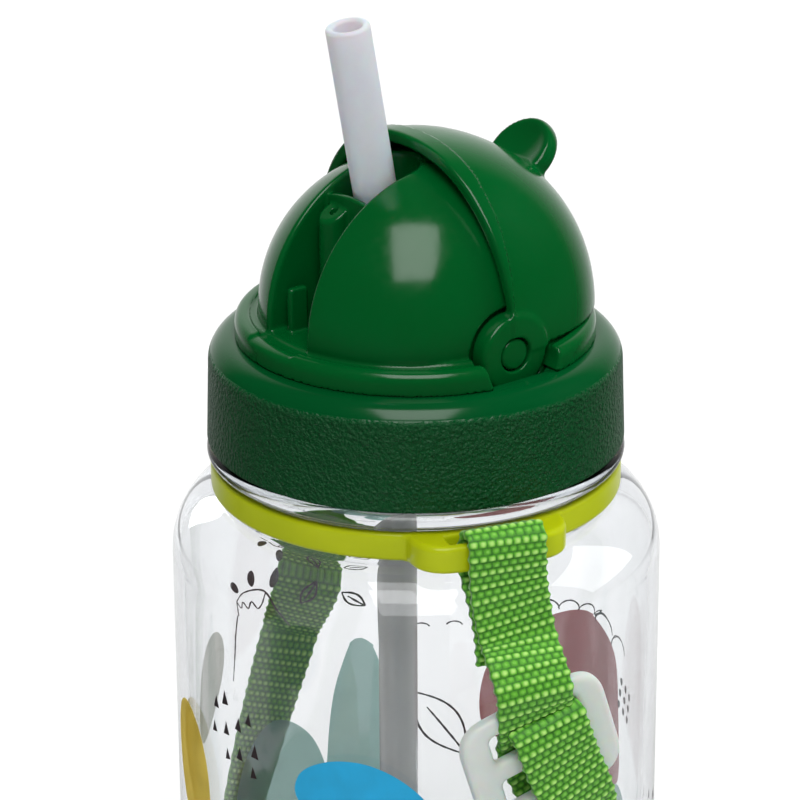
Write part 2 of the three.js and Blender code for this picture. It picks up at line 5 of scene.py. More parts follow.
import bmesh
import bpy
import numpy as np
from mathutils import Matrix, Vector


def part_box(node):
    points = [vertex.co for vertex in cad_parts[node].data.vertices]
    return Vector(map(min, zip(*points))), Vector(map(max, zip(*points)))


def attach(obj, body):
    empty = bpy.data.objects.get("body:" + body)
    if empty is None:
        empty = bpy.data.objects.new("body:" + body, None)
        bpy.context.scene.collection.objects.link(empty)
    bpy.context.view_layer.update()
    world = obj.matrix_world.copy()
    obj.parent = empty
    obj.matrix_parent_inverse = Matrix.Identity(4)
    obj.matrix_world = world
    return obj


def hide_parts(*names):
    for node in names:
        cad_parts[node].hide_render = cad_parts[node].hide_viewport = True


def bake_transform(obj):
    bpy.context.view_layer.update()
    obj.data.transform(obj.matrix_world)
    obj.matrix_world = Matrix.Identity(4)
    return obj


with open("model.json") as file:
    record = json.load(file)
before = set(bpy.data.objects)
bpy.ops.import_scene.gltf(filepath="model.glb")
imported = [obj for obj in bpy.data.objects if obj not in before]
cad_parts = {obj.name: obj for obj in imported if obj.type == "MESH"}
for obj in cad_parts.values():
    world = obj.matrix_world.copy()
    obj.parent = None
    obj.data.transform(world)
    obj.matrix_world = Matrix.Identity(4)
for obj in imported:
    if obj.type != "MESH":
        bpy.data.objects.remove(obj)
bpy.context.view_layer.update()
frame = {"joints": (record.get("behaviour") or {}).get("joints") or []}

import openvdb
from mathutils import Matrix, Vector

JOINTS = {joint["name"]: joint for joint in frame["joints"]}
MM = 0.001

# ---- sizes, in millimetres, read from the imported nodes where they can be
BODY_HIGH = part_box("bottle_body")[1] / MM
BODY_R = round(BODY_HIGH.x, 2)
CAP_LOW, CAP_HIGH = (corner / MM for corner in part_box("lid_collar"))
CAP_R = round(CAP_HIGH.x, 2)
CAP_Z = round(CAP_LOW.z, 2)
CAP_TOP = round(CAP_HIGH.z, 2)
HINGE_Z = JOINTS["cover_hinge"]["pos_m"][2] / MM
SHOULDER_Z = 107.5
NECK_FOOT_Z = 117.4
NECK_R = 28.9
NECK_BORE_R = 26.6
NECK_TOP = round(BODY_HIGH.z, 2)
BEAD_R = 31.8
BEAD_Z = 124.4
BEAD_HALF = 1.4
GROOVE_R = 29.6
RING_R = 31.3
WALL = 2.0
THREAD_PITCH = 4.0
THREAD_RISE = 0.6
CAP_SHOULDER_Z = 138.5
CAP_SHOULDER_R = 31.3  # the skirt narrows to this
CAP_SHOULDER_IN = 4.2
CAP_PLATE = 3.8
CAP_BORE_R = 30.5
CAP_HOLE_R = 24.3
RELIEF_X, RELIEF_HALF = 22.6, 2.1  # the room for each boss in the cap
TIER_R = 27.2
TIER_TOP = 146.0
TIER_STEP_R = 24.9
DOME_R = 23.6
DOME_Z = 146.5
SLOT_LEFT_X = -5.7
SLOT_RIGHT_X = 4.0
SLOT_BACK_Y = -4.4
SLOT_FLOOR = 145.7
COVER_R = 27.5
COVER_HALF_X = 24.2
COVER_POWER = 2.2
COVER_WALL = 1.6
RIM_LEAN = math.radians(4.3)
RIM_BAND_LEAN = math.radians(3.7)
RIM_BAND_AHEAD = 0.5
COVER_TAIL_Z = 146.15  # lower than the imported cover, which keeps more clearance over the tier
TAB_R = 6.0
TAB_THICK = 3.2
TAB_OUT = 28.8
TAB_BACK = math.radians(45)
DISH_R = 13.6
DISH_DEEP = 1.0
BOSS_R = 5.9
BOSS_IN_X = 20.9
BOSS_OUT_X = 24.2
PIN_R = 2.35
PIN_BLOCK_X = 16.5
PIN_BLOCK_HALF = 8.2
POCKET_X = 20.6
POCKET_R = 6.5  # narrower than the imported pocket
POCKET_FLOOR = 139.6
PLUG_R = 24.0
PLUG_FLANGE_R = 25.6
PLUG_LOW = 136.6
DOME_WALL = 1.8
VENT_X = -2.8
VENT_Y = -12.75
VENT_TOP = 163.5
VENT_R = 2.3
VENT_SLANT = (-0.5, 0.866)
CROSS_WALL_Y = (-11.9, -10.9)
CROSS_WALL_ARCH_Z = 145.1
CROSS_WALL_ARCH_R = 20.7
SOCKET_Y = -3.6
GROMMET_R = 3.9
GAP = 0.3
ROOM = 1.5  # kept round a piece whose surface is taken from a field
SPOUT_R = 3.3
SPOUT_BORE_R = 2.1
SPOUT_LEAN = math.radians(10.3)
SPOUT_FOOT = Vector((0, -4.4, 150))
SPOUT_KNEES = (14.0, 19.0, 26.0)
SPOUT_END = 42.8
LUG_ANGLE = math.radians(-17.4)
LUG_R = 36.0
LUG_HALF = 12
LUG_SLOT_HALF = 7
LUG_SLOT_R = 32.75
RING_LOW, RING_HIGH = 118.3, 122.6
STRAP_WIDTH = 12.0
STRAP_THICK = 1.4
BEAD_PITCH = 2.0  # from one row of full beads to the next
BEADS_ACROSS = 9
SLIDER_ANGLE = math.radians(-11.6)
SLIDER_Z = 91.0
SLIDER_R = 41.6
SLIDER_TILT = math.radians(17)

# ---- camera
CAMERA_AZIMUTH = math.radians(53)
CAMERA_RISE = math.radians(22.1)
CAMERA_DISTANCE = 0.56
CAMERA_LENS = 166.0
CAMERA_ROLL = math.radians(-0.34)
CAMERA_AIM_Z = 0.131
CAMERA_AIM_LEFT = 0.00236


def make_camera():
    out = Vector((math.sin(CAMERA_AZIMUTH), -math.cos(CAMERA_AZIMUTH), 0))
    right = Vector((math.cos(CAMERA_AZIMUTH), math.sin(CAMERA_AZIMUTH), 0))
    aim = Vector((0, 0, CAMERA_AIM_Z)) - right * CAMERA_AIM_LEFT
    back = out * math.cos(CAMERA_RISE) + Vector((0, 0, math.sin(CAMERA_RISE)))
    data = bpy.data.cameras.new("camera")
    data.lens = CAMERA_LENS
    data.sensor_width = 36
    data.clip_start = 0.01
    camera = bpy.data.objects.new("camera", data)
    bpy.context.scene.collection.objects.link(camera)
    camera.rotation_mode = "QUATERNION"
    camera.location = aim + back * CAMERA_DISTANCE
    turn = (-back).to_track_quat("-Z", "Y").to_matrix() @ Matrix.Rotation(CAMERA_ROLL, 3, "Z")
    camera.rotation_quaternion = turn.to_quaternion()
    bpy.context.scene.camera = camera


make_camera()


# ---- mesh helpers
def new_mesh(name, points, faces, material):
    """A mesh object from points in millimetres, in the row frame."""
    mesh = bpy.data.meshes.new(name)
    mesh.from_pydata((np.asarray(points, float) * MM).tolist(), [], [list(map(int, f)) for f in faces])
    mesh.polygons.foreach_set("use_smooth", [True] * len(mesh.polygons))
    mesh.update()
    piece = bpy.data.objects.new(name, mesh)
    bpy.context.scene.collection.objects.link(piece)
    mesh.materials.append(material)
    return piece


def place(piece, body, slot, *nodes):
    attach(piece, body)
    if nodes:
        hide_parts(*nodes)
    return piece


def grid_faces(rows, columns, wrap_rows=False, wrap_columns=False):
    """Quads of a grid of points numbered row by row."""
    i = np.arange(rows if wrap_rows else rows - 1)[:, None]
    j = np.arange(columns if wrap_columns else columns - 1)[None, :]
    a = i * columns + j
    b = i * columns + (j + 1) % columns
    c = ((i + 1) % rows) * columns + (j + 1) % columns
    d = ((i + 1) % rows) * columns + j
    return np.stack([a, b, c, d], -1).reshape(-1, 4)


def arc(centre_r, centre_z, radius_r, radius_z, start, end, steps):
    t = np.radians(np.linspace(start, end, steps + 1))
    return list(zip(centre_r + radius_r * np.cos(t), centre_z + radius_z * np.sin(t)))


def turned(name, outline, material, columns, ripple=None, closes=False):
    """A piece turned about Z from (radius, height) points; ripple(angle, z, k) adds to the radius."""
    angle = np.linspace(0, 2 * math.pi, columns, endpoint=False)
    outline = np.array(outline)
    radius = np.repeat(outline[:, :1], columns, 1)
    height = np.repeat(outline[:, 1:], columns, 1)
    if ripple:
        radius = radius + ripple(angle[None, :], height, np.arange(len(outline))[:, None])
    points = np.stack([radius * np.cos(angle), radius * np.sin(angle), height], -1).reshape(-1, 3)
    faces = grid_faces(len(outline), columns, wrap_rows=closes, wrap_columns=True)
    points, faces = points.tolist(), faces.tolist()
    for row, flip in () if closes else ((0, True), (len(outline) - 1, False)):
        centre = len(points)
        points.append([0, 0, float(outline[row][1])])
        for k in range(columns):
            a, b = row * columns + k, row * columns + (k + 1) % columns
            faces.append([centre, b, a] if flip else [centre, a, b])
    return new_mesh(name, points, faces, material)


# Signed distances in millimetres: below zero inside. The k of a join or cut is the size of its fillet.
def join(a, b, k=0.3):
    h = np.clip(0.5 + 0.5 * (b - a) / k, 0, 1)
    return b * (1 - h) + a * h - k * h * (1 - h)


def both(a, b, k=0.3):
    return -join(-a, -b, k)


def cut(a, b, k=0.3):
    return both(a, -b, k)


def box_distance(x, y, z, low, high, k):
    middle = [(a + b) / 2 for a, b in zip(low, high)]
    half = [(b - a) / 2 for a, b in zip(low, high)]
    sides = [abs(p - m) - h for p, m, h in zip((x, y, z), middle, half)]
    return both(both(sides[0], sides[1], k), sides[2], k)


def field_mesh(name, node_name, voxel, field, material):
    """Where field(x, y, z) is zero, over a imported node's box, as quads with the field's own normals."""
    low, high = (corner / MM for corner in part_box(node_name))
    low, high = [c - ROOM for c in low], [c + ROOM for c in high]
    axes = [np.arange(a, b + voxel, voxel) for a, b in zip(low, high)]
    x, y, z = np.meshgrid(*axes, indexing="ij")
    edge = 3 * voxel
    values = np.clip(field(x, y, z), -edge, edge).astype(np.float32)
    grid = openvdb.FloatGrid(edge)
    grid.copyFromArray(values)
    points, quads = grid.convertToQuads(0.0)
    points = np.asarray(points, float) * voxel + np.array(low)

    def slope(p, step=0.05):
        out = np.empty_like(p)
        for k in range(3):
            d = np.zeros(3)
            d[k] = step
            out[:, k] = (field(*(p + d).T) - field(*(p - d).T)) / (2 * step)
        return out

    normal = slope(points)
    size = np.maximum((normal ** 2).sum(1, keepdims=True), 0.2)
    move = field(*points.T)[:, None] * normal / size
    points = points - np.clip(move, -0.4 * voxel, 0.4 * voxel)
    normal = slope(points)
    normal /= np.maximum(np.linalg.norm(normal, axis=1, keepdims=True), 1e-9)
    quads = np.asarray(quads, int)
    a, b, c = (points[quads[:, k]] for k in (0, 1, 2))
    facing = (np.cross(b - a, c - a) * normal[quads[:, 0]]).sum(1)
    if np.median(facing) < 0:
        quads = quads[:, ::-1]
    piece = new_mesh(name, points, quads, material)
    piece.data.normals_split_custom_set_from_vertices(normal.tolist())
    return piece


def unit(vectors):
    return vectors / np.linalg.norm(vectors, axis=1, keepdims=True)


def square_to(width, tangent):
    return unit(width - tangent * (width * tangent).sum(1, keepdims=True))


def lengths_along(line):
    return np.concatenate([[0], np.cumsum(np.linalg.norm(np.diff(line, axis=0), axis=1))])


# ---- materials
def material(name, **inputs):
    """A Principled material; each input is set on the shader's own socket."""
    made = bpy.data.materials.new(name)
    made.use_nodes = True
    shader = made.node_tree.nodes["Principled BSDF"]
    for key, value in inputs.items():
        socket = shader.inputs[key.replace("_", " ")]
        socket.default_value = (*value, 1) if isinstance(value, tuple) and len(value) == 3 else value
    return made


def node(made, kind, links=(), **settings):
    """Adds a node; links are (input name, output socket) and settings are attributes or input values."""
    new = made.node_tree.nodes.new(kind)
    for key, value in settings.items():
        if hasattr(new, key):
            setattr(new, key, value)
        else:
            new.inputs[key.replace("_", " ")].default_value = value
    for name, output in links:
        made.node_tree.links.new(output, new.inputs[name])
    return new


def coordinates(made):
    return node(made, "ShaderNodeTexCoord").outputs["Object"]


def feed(made, socket, output):
    shader = made.node_tree.nodes["Principled BSDF"]
    made.node_tree.links.new(output, shader.inputs[socket])


def math_node(tree, operation, *values, clamp=False):
    new = tree.nodes.new("ShaderNodeMath")
    new.operation = operation
    new.use_clamp = clamp
    for k, value in enumerate(values):
        if isinstance(value, (int, float)):
            new.inputs[k].default_value = value
        else:
            tree.links.new(value, new.inputs[k])
    return new.outputs[0]


def add_bump(made, height, strength, distance):
    bump = node(made, "ShaderNodeBump", [("Height", height)], Strength=strength, Distance=distance)
    feed(made, "Normal", bump.outputs["Normal"])


def uneven(made, scale, detail, strength, distance):
    """A faint unevenness of the surface."""
    noise = node(made, "ShaderNodeTexNoise", [("Vector", coordinates(made))], Scale=scale, Detail=detail)
    add_bump(made, noise.outputs["Fac"], strength, distance)


def vary(made, low, high, scale, socket="Base Color"):
    """Soft mottling of a colour or a number between low and high."""
    noise = node(made, "ShaderNodeTexNoise", [("Vector", coordinates(made))], Scale=scale, Detail=4.0)
    ramp = node(made, "ShaderNodeValToRGB", [("Fac", noise.outputs["Fac"])])
    for element, value, at in zip(ramp.color_ramp.elements, (low, high), (0.3, 0.7)):
        element.color = (*value, 1) if isinstance(value, tuple) else (value, value, value, 1)
        element.position = at
    feed(made, socket, ramp.outputs["Color"])


def green_plastic():
    made = material("green_plastic", IOR=1.5, Specular_IOR_Level=0.38)
    vary(made, (0.0, 0.088, 0.014), (0.0, 0.098, 0.018), 60)
    vary(made, 0.13, 0.2, 900, "Roughness")
    uneven(made, 240.0, 2.0, 0.06, 0.0002)
    return made


def grained_plastic():
    """Moulded pebble grain below the shoulder, smooth gloss above it."""
    made = material("grained_plastic", Base_Color=(0.0, 0.075, 0.016), IOR=1.5, Specular_IOR_Level=0.3)
    where = coordinates(made)
    cells = node(made, "ShaderNodeTexVoronoi", [("Vector", where)], feature="SMOOTH_F1", Scale=1500.0)
    cells.inputs["Smoothness"].default_value = 0.35
    fine = node(made, "ShaderNodeTexNoise", [("Vector", where)], Scale=3200.0, Detail=2.0)
    pebbles = math_node(made.node_tree, "MULTIPLY_ADD", cells.outputs["Distance"], fine.outputs["Fac"], 0.0)
    height = node(made, "ShaderNodeSeparateXYZ", [("Vector", where)]).outputs["Z"]
    mask = node(made, "ShaderNodeMapRange", [("Value", height)])
    mask.inputs["From Min"].default_value = (CAP_TOP - 2.2) * MM
    mask.inputs["From Max"].default_value = (CAP_TOP - 2.9) * MM
    add_bump(made, math_node(made.node_tree, "MULTIPLY", pebbles, mask.outputs["Result"]), 1.0, 0.0011)
    rough = node(made, "ShaderNodeMapRange", [("Value", mask.outputs["Result"])])
    rough.inputs["To Min"].default_value = 0.16
    rough.inputs["To Max"].default_value = 0.42
    feed(made, "Roughness", rough.outputs["Result"])
    return made


def lime_plastic():
    made = material("lime_plastic", Roughness=0.28, Specular_IOR_Level=0.3)
    vary(made, (0.46, 0.54, 0.003), (0.52, 0.60, 0.006), 90)
    uneven(made, 500.0, 3.0, 0.08, 0.0002)
    return made


def clear_plastic():
    made = material(
        "clear_plastic", Base_Color=(0.985, 0.99, 0.995), Roughness=0.0, IOR=1.45, Transmission_Weight=1.0,
    )
    uneven(made, 35.0, 1.0, 0.03, 0.0006)
    tint = node(made, "ShaderNodeVolumeAbsorption", Color=(0.0, 0.11, 0.22, 1), Density=22.0)
    out = made.node_tree.nodes["Material Output"]
    made.node_tree.links.new(tint.outputs["Volume"], out.inputs["Volume"])
    return made


def silicone():
    made = material(
        "silicone", Roughness=0.34, IOR=1.41, Transmission_Weight=0.35,
        Subsurface_Weight=0.6, Subsurface_Scale=0.003,
    )
    vary(made, (0.78, 0.82, 0.88), (0.84, 0.87, 0.92), 160)
    uneven(made, 700.0, 3.0, 0.12, 0.0002)
    return made


def straw_plastic():
    made = material("straw_plastic", Roughness=0.25, IOR=1.49, Transmission_Weight=0.45)
    vary(made, (0.68, 0.69, 0.68), (0.76, 0.77, 0.76), 120)
    return made


def slider_plastic():
    made = material(
        "slider_plastic", Roughness=0.3, IOR=1.49, Transmission_Weight=0.2,
        Subsurface_Weight=0.5, Subsurface_Scale=0.002,
    )
    vary(made, (0.77, 0.84, 0.80), (0.83, 0.88, 0.86), 150)
    uneven(made, 900.0, 3.0, 0.1, 0.0002)
    return made


def webbing():
    """Bright polyester webbing: rows of beads, with a painted highlight on their crests and painted shade
    between them.
    """
    made = material("webbing", Roughness=0.5, Sheen_Weight=0.2)
    maths = partial(math_node, made.node_tree)

    def read(key):
        return node(made, "ShaderNodeAttribute", attribute_name=key).outputs["Fac"]

    back = maths("LESS_THAN", read("face_side"), 0.0)
    row = maths("COSINE", maths("ADD", maths("MULTIPLY", read("along"), 2 * math.pi / BEAD_PITCH),
                                maths("MULTIPLY", back, math.pi)))
    from_edge = maths("ADD", read("across"), STRAP_WIDTH / 2)
    column = maths("MULTIPLY", from_edge, math.pi * BEADS_ACROSS / STRAP_WIDTH)
    full = maths("MULTIPLY", maths("MAXIMUM", row, 0.0), maths("ABSOLUTE", maths("SINE", column)))
    low = maths("MULTIPLY", maths("MAXIMUM", maths("MULTIPLY", row, -1.0), 0.0),
                maths("ABSOLUTE", maths("COSINE", column)))
    bead = maths("MAXIMUM", full, maths("MULTIPLY", low, 0.5))
    where = coordinates(made)
    noise = node(made, "ShaderNodeTexNoise", [("Vector", where)], Scale=2600.0, Detail=4.0, Roughness=0.7)
    # Painted light: the ramp gives the bead crests a painted highlight and the gullies between the beads
    # painted shade; the noise adds a random mottle.
    bead_shading_and_mottle = maths("ADD", maths("MULTIPLY", bead, 0.8), maths("MULTIPLY", noise.outputs["Fac"], 0.4))
    ramp = node(made, "ShaderNodeValToRGB", [("Fac", bead_shading_and_mottle)])
    ramp.color_ramp.elements[0].color = (0.008, 0.13, 0.002, 1)
    ramp.color_ramp.elements[0].position = 0.12
    ramp.color_ramp.elements[1].color = (0.50, 0.86, 0.20, 1)
    ramp.color_ramp.elements[1].position = 0.98
    middle = ramp.color_ramp.elements.new(0.5)
    middle.color = (0.13, 0.50, 0.022, 1)
    feed(made, "Base Color", ramp.outputs["Color"])
    height = maths("ADD", maths("MULTIPLY", bead, 0.7), maths("MULTIPLY", noise.outputs["Fac"], 0.3))
    add_bump(made, height, 0.5, 0.0005)
    return made


def ink(name, colour):
    thin = {} if name in ("line", "blue") else {"Transmission_Weight": 0.4, "IOR": 1.02}
    made = material("ink_" + name, Roughness=0.45, **thin)
    vary(made, tuple(c * 0.92 for c in colour), tuple(min(1, c * 1.06) for c in colour), 220)
    return made


GREEN = green_plastic()
GRAINED = grained_plastic()
LIME = lime_plastic()
CLEAR = clear_plastic()
SILICONE = silicone()
STRAW = straw_plastic()
SLIDER = slider_plastic()
WEBBING = webbing()

# ---- strap
# Each point is (degrees round from its lug, height, radius), from the lug's outer face down.
RUN = [
    (0.8, 121.4, LUG_R + 1.4),
    (1, 116, 37.6),
    (2.6, 108, 38.7),
    (4.4, 99, 38.9),
    (7, 90, 38.9),
    (13, 80, 38.9),
    (19.5, 69, 38.9),
    (26.5, 58, 38.9),
    (35, 46, 38.9),
    (45, 34, 38.9),
    (56, 25, 39.6),
    (66, 20.4, 41.5),
    (74, 19.4, 44),
]
LUG_DEGREES = math.degrees(LUG_ANGLE)
# The sewn end runs up behind the strap and through the lug's slot: (height, radius, degrees).
LOOP = [
    (104.5, 37.25, 2.6), (109, 36.9, 2.2), (113.5, 35.3, 1.6), (117, 33.4, 1.1), (120.5, 32.95, 0.9),
    (123.2, 33.6, 0.9), (124.2, 35.2, 0.9), (123.6, 36.8, 0.9),
]
# Over the slider's top bar and in through its upper slot.
OVER_BAR = [(2.7, 104.8, 42.0), (3.1, 101.2, 43.9), (3.5, 98.2, 43.2)]
# The loose tail, (degrees from the front lug, radius, height), from behind the slider's middle bar.
TAIL = [
    (5.8, 40.0, 89.8), (5.5, 39.9, 93.0), (5.4, 41.2, 95.9), (5.8, 43.6, 96.3), (6.8, 44.4, 93.8),
    (9.2, 44.3, 88.8), (12.8, 44.2, 82.5), (16.4, 42.8, 76), (20, 41.2, 69), (23.6, 40.8, 62),
    (26.4, 40.8, 57),
]
COIL_SPACING = 5.0  # between the two strands wound round the foot, per half turn
COIL_Z = 7.0
COIL_START_R = 44.6
BIGHT_DEGREES = 468.0  # where the strap turns back on itself
BIGHT_R = 8.0


def polar(degrees, radius, z):
    a = np.radians(degrees)
    return np.array([radius * np.cos(a), radius * np.sin(a), z])


def smooth_line(points, step):
    """Centripetal Catmull-Rom through points, then points an even step apart."""
    points = np.asarray(points, float)
    padded = np.vstack([2 * points[0] - points[1], points, 2 * points[-1] - points[-2]])
    gaps = np.maximum(np.linalg.norm(np.diff(padded, axis=0), axis=1) ** 0.5, 1e-6)
    knots = np.concatenate([[0], np.cumsum(gaps)])
    line = []
    for i in range(1, len(padded) - 2):
        t0, t1, t2, t3 = knots[i - 1:i + 3]
        p0, p1, p2, p3 = padded[i - 1:i + 3]
        t = np.linspace(t1, t2, 24, endpoint=False)[:, None]
        a1 = (t1 - t) / (t1 - t0) * p0 + (t - t0) / (t1 - t0) * p1
        a2 = (t2 - t) / (t2 - t1) * p1 + (t - t1) / (t2 - t1) * p2
        a3 = (t3 - t) / (t3 - t2) * p2 + (t - t2) / (t3 - t2) * p3
        b1 = (t2 - t) / (t2 - t0) * a1 + (t - t0) / (t2 - t0) * a2
        b2 = (t3 - t) / (t3 - t1) * a2 + (t - t1) / (t3 - t1) * a3
        line.append((t2 - t) / (t2 - t1) * b1 + (t - t1) / (t2 - t1) * b2)
    line = np.vstack([*line, points[-1:]])
    return evenly(line, step)


def evenly(line, step):
    length = lengths_along(line)
    at = np.linspace(0, length[-1], max(2, int(round(length[-1] / step)) + 1))
    return np.stack([np.interp(at, length, line[:, k]) for k in range(3)], 1)


def strand(turn, end, front):
    """Points of one strand: sewn loop, run down the body, then round the foot to end degrees."""
    base = LUG_DEGREES + turn
    loop = [polar(base + degrees, radius, z) for z, radius, degrees in LOOP]
    run = []
    for degrees, z, r in RUN:
        if front and z == 99:
            run += [polar(base + shift, radius, height) for shift, height, radius in OVER_BAR]
            continue
        run.append(polar(base + degrees, r, z))
    start, foot_z = base + RUN[-1][0], RUN[-1][1]
    coil = []
    for degrees in np.arange(start + 12, end, 7.5):
        fall = min(1, (degrees - start) / 46)
        fall = fall * fall * (3 - 2 * fall)
        z = foot_z + (COIL_Z - foot_z) * fall
        coil.append(polar(degrees, COIL_START_R + COIL_SPACING * (degrees - start) / 180, z))
    return loop + run + coil


def strap_line(step):
    """The whole strap: both strands, joined by the bight at the outside of the turns."""
    swing = 52.0
    one = strand(0, BIGHT_DEGREES - swing, True)
    two = strand(180, BIGHT_DEGREES - 8, False)
    inner = np.linalg.norm(two[-1][:2])
    outer = inner + 2 * BIGHT_R
    from_r = np.linalg.norm(one[-1][:2])
    bend = []
    for k in range(1, 6):
        t = k / 6
        ease = t * t * (3 - 2 * t)
        bend.append(polar(BIGHT_DEGREES - swing + (swing - 8) * t, from_r + (outer - from_r) * ease, COIL_Z))
    middle = (inner + outer) / 2
    turn_point = polar(BIGHT_DEGREES - 6, middle, COIL_Z)
    out_way = polar(BIGHT_DEGREES - 6, 1, 0) * np.array([1, 1, 0])
    along = np.array([-out_way[1], out_way[0], 0])
    for angle in np.radians([70, 35, 0, -35, -70]):
        bend.append(turn_point + BIGHT_R * (math.sin(angle) * out_way + math.cos(angle) * along))
    return smooth_line(one + bend + two[::-1], step)


def strap_frames(line):
    """Unit width and face directions along the strap; its face looks out from the bottle's axis."""
    tangent = unit(np.gradient(line, axis=0))
    radial = unit(line * np.array([1, 1, 0]))
    round_way = np.stack([-radial[:, 1], radial[:, 0], 0 * radial[:, 0]], 1)
    width = np.cross(radial, tangent)
    size = np.linalg.norm(width, axis=1, keepdims=True)
    width /= np.maximum(size, 1e-6)
    high = line[:, 2] > 100
    width[high] = round_way[high]
    low = line[:, 2] < COIL_Z + 0.5
    width[low] = (0, 0, 1)
    for i in range(1, len(width)):
        if width[i] @ width[i - 1] < 0:
            width[i] *= -1
    for _ in range(20):
        width[1:-1] = (width[:-2] + 2 * width[1:-1] + width[2:]) / 4
    width = square_to(width, tangent)
    return width, np.cross(tangent, width)


def woven(name, line, width_way, face_way, fine):
    """A strip of webbing with rolled edges; where fine is 1 its beads stand out of both faces."""
    along = lengths_along(line)
    samples = 4 * BEADS_ACROSS + 1
    half = STRAP_WIDTH / 2
    u = np.linspace(-1, 1, samples) * half * 0.985
    across = np.concatenate([u, u[::-1]])[None, :]
    side = np.repeat([1.0, -1.0], samples)[None, :]
    bead = bead_height(along[:, None], across, side)
    shaped = 0.5 + (bead - 0.5) * np.asarray(fine, float)[:, None]
    taper = 1 - np.clip((np.abs(across) - half * 0.86) / (half * 0.2), 0, 1) ** 2 * 0.7
    thick = side * (STRAP_THICK * 0.27 + 0.50 * shaped) * taper
    edge = np.clip(np.abs(across) / half - 0.75, 0, 1) * 4
    reach = across + np.sign(across) * edge * 0.16 * np.cos(2 * math.pi * along[:, None] / BEAD_PITCH)
    points = line[:, None, :] + width_way[:, None, :] * reach[:, :, None]
    points = points + face_way[:, None, :] * thick[:, :, None]
    rows, columns = points.shape[:2]
    faces = grid_faces(rows, columns, wrap_columns=True).tolist()
    faces.append(list(range(columns))[::-1])
    faces.append([(rows - 1) * columns + k for k in range(columns)])
    piece = new_mesh(name, points.reshape(-1, 3), faces, WEBBING)
    for key, value in (("along", along[:, None]), ("across", across), ("face_side", side)):
        attribute = piece.data.attributes.new(key, "FLOAT", "POINT")
        spread = np.broadcast_to(value, (rows, columns)).astype(np.float32)
        attribute.data.foreach_set("value", spread.ravel())
    return piece


def bead_height(along, across, side):
    """From 0 to 1: rows of full beads with lower, staggered rows between them."""
    turn = 2 * math.pi * along / BEAD_PITCH + math.pi * (side < 0)
    column = math.pi * (across / STRAP_WIDTH + 0.5) * BEADS_ACROSS
    full = np.clip(np.cos(turn), 0, 1) ** 0.6 * (0.4 + 0.6 * np.abs(np.sin(column)) ** 0.8)
    low = np.clip(-np.cos(turn), 0, 1) ** 0.6 * (0.2 + 0.8 * np.abs(np.cos(column)) ** 0.8)
    return np.maximum(full, 0.62 * low)


def make_strap():
    line = strap_line(0.1)
    seen = np.clip((line[:, 2] - 62) / 6, 0, 1)
    front = line[:, 0] > 0
    wanted = np.where(seen > 0.5, np.where(front, 0.27, 0.4), 1.25)
    keep = np.concatenate([[0], np.cumsum(0.1 / wanted)])[:len(line)]
    at = np.interp(np.arange(0, keep[-1], 1.0), keep, np.arange(len(line)))
    index = np.unique(np.concatenate([np.round(at).astype(int), [len(line) - 1]]))
    width_way, face_way = strap_frames(line)
    piece = woven("strap", line[index], width_way[index], face_way[index], seen[index])
    place(piece, "strap_carrier", "webbing", "strap_front_run", "strap_back_run", "strap_coil")
    length = float(np.linalg.norm(np.diff(line, axis=0), axis=1).sum()) * MM
    print("strap length", round(length, 4), "rows", len(index), "faces", len(piece.data.polygons))
    return piece, line, length


def make_tail():
    """The strap's loose tail: up behind the slider's middle bar, out over it and down the front."""
    base = LUG_DEGREES
    points = [polar(base + degrees, radius, z) for degrees, radius, z in TAIL]
    line = smooth_line(points, 0.27)
    tangent = unit(np.gradient(line, axis=0))
    angle = np.arctan2(line[:, 1], line[:, 0])
    round_way = np.stack([-np.sin(angle), np.cos(angle), 0 * angle], 1)
    width = round_way * math.cos(SLIDER_TILT) + np.array([0, 0, math.sin(SLIDER_TILT)])
    width = square_to(width, tangent)
    piece = woven("strap_tail", line, width, np.cross(tangent, width), np.ones(len(line)))
    return place(piece, "strap_carrier", "webbing")


STRAP, STRAP_PATH, STRAP_LENGTH = make_strap()
TAIL_PIECE = make_tail()


def make_slider():
    """Moulded three-bar slider with rounded edges."""
    half_wide, half_high, slot_half_wide, slot_h = 12, 9, 7.4, 3.9
    cos_t, sin_t = math.cos(SLIDER_TILT), math.sin(SLIDER_TILT)
    cos_a, sin_a = math.cos(SLIDER_ANGLE), math.sin(SLIDER_ANGLE)

    def field(x, y, z):
        out = x * cos_a + y * sin_a - SLIDER_R
        side = -x * sin_a + y * cos_a
        up = z - SLIDER_Z
        w = side * cos_t + up * sin_t
        h = -side * sin_t + up * cos_t
        body = both(np.abs(w) - half_wide, np.abs(h) - half_high, 5.0)
        for middle in (-slot_h, slot_h):
            body = cut(body, both(np.abs(w) - slot_half_wide, np.abs(h - middle) - 2.3, 1.2), 0.5)
        return both(body, np.abs(out) - 1.2, 1.0)

    piece = field_mesh("slider", "strap_slider", 0.22, field, SLIDER)
    return place(piece, "strap_carrier", "slider_plastic", "strap_slider")


SLIDER_PIECE = make_slider()


# ---- strap ring
def ring_field(x, y, z):
    r = np.hypot(x, y)
    slab = np.abs(z - (RING_LOW + RING_HIGH) / 2) - (RING_HIGH - RING_LOW) / 2
    ring = both(r - RING_R, slab, 0.7)
    for turn in (LUG_ANGLE, LUG_ANGLE + math.pi):
        u = x * math.cos(turn) + y * math.sin(turn)
        v = -x * math.sin(turn) + y * math.cos(turn)
        bulge = u + v * v / 130 - LUG_R
        lug = both(both(bulge, np.abs(v) - LUG_HALF, 5.0), 28 - u, 1)
        slot = both(np.abs(v) - LUG_SLOT_HALF, np.abs(u - LUG_SLOT_R) - 1.35, 0.6)
        lug = cut(both(lug, slab, 0.9), slot, 0.5)
        ring = join(ring, lug, 0.6)
        ring = cut(ring, slot, 0.5)
    return cut(ring, r - (GROOVE_R + 0.3), 0.4)


def make_ring():
    piece = field_mesh("lug_ring", "strap_ring", 0.34, ring_field, LIME)
    return place(piece, "strap_carrier", "lime_plastic", "strap_ring")


make_ring()


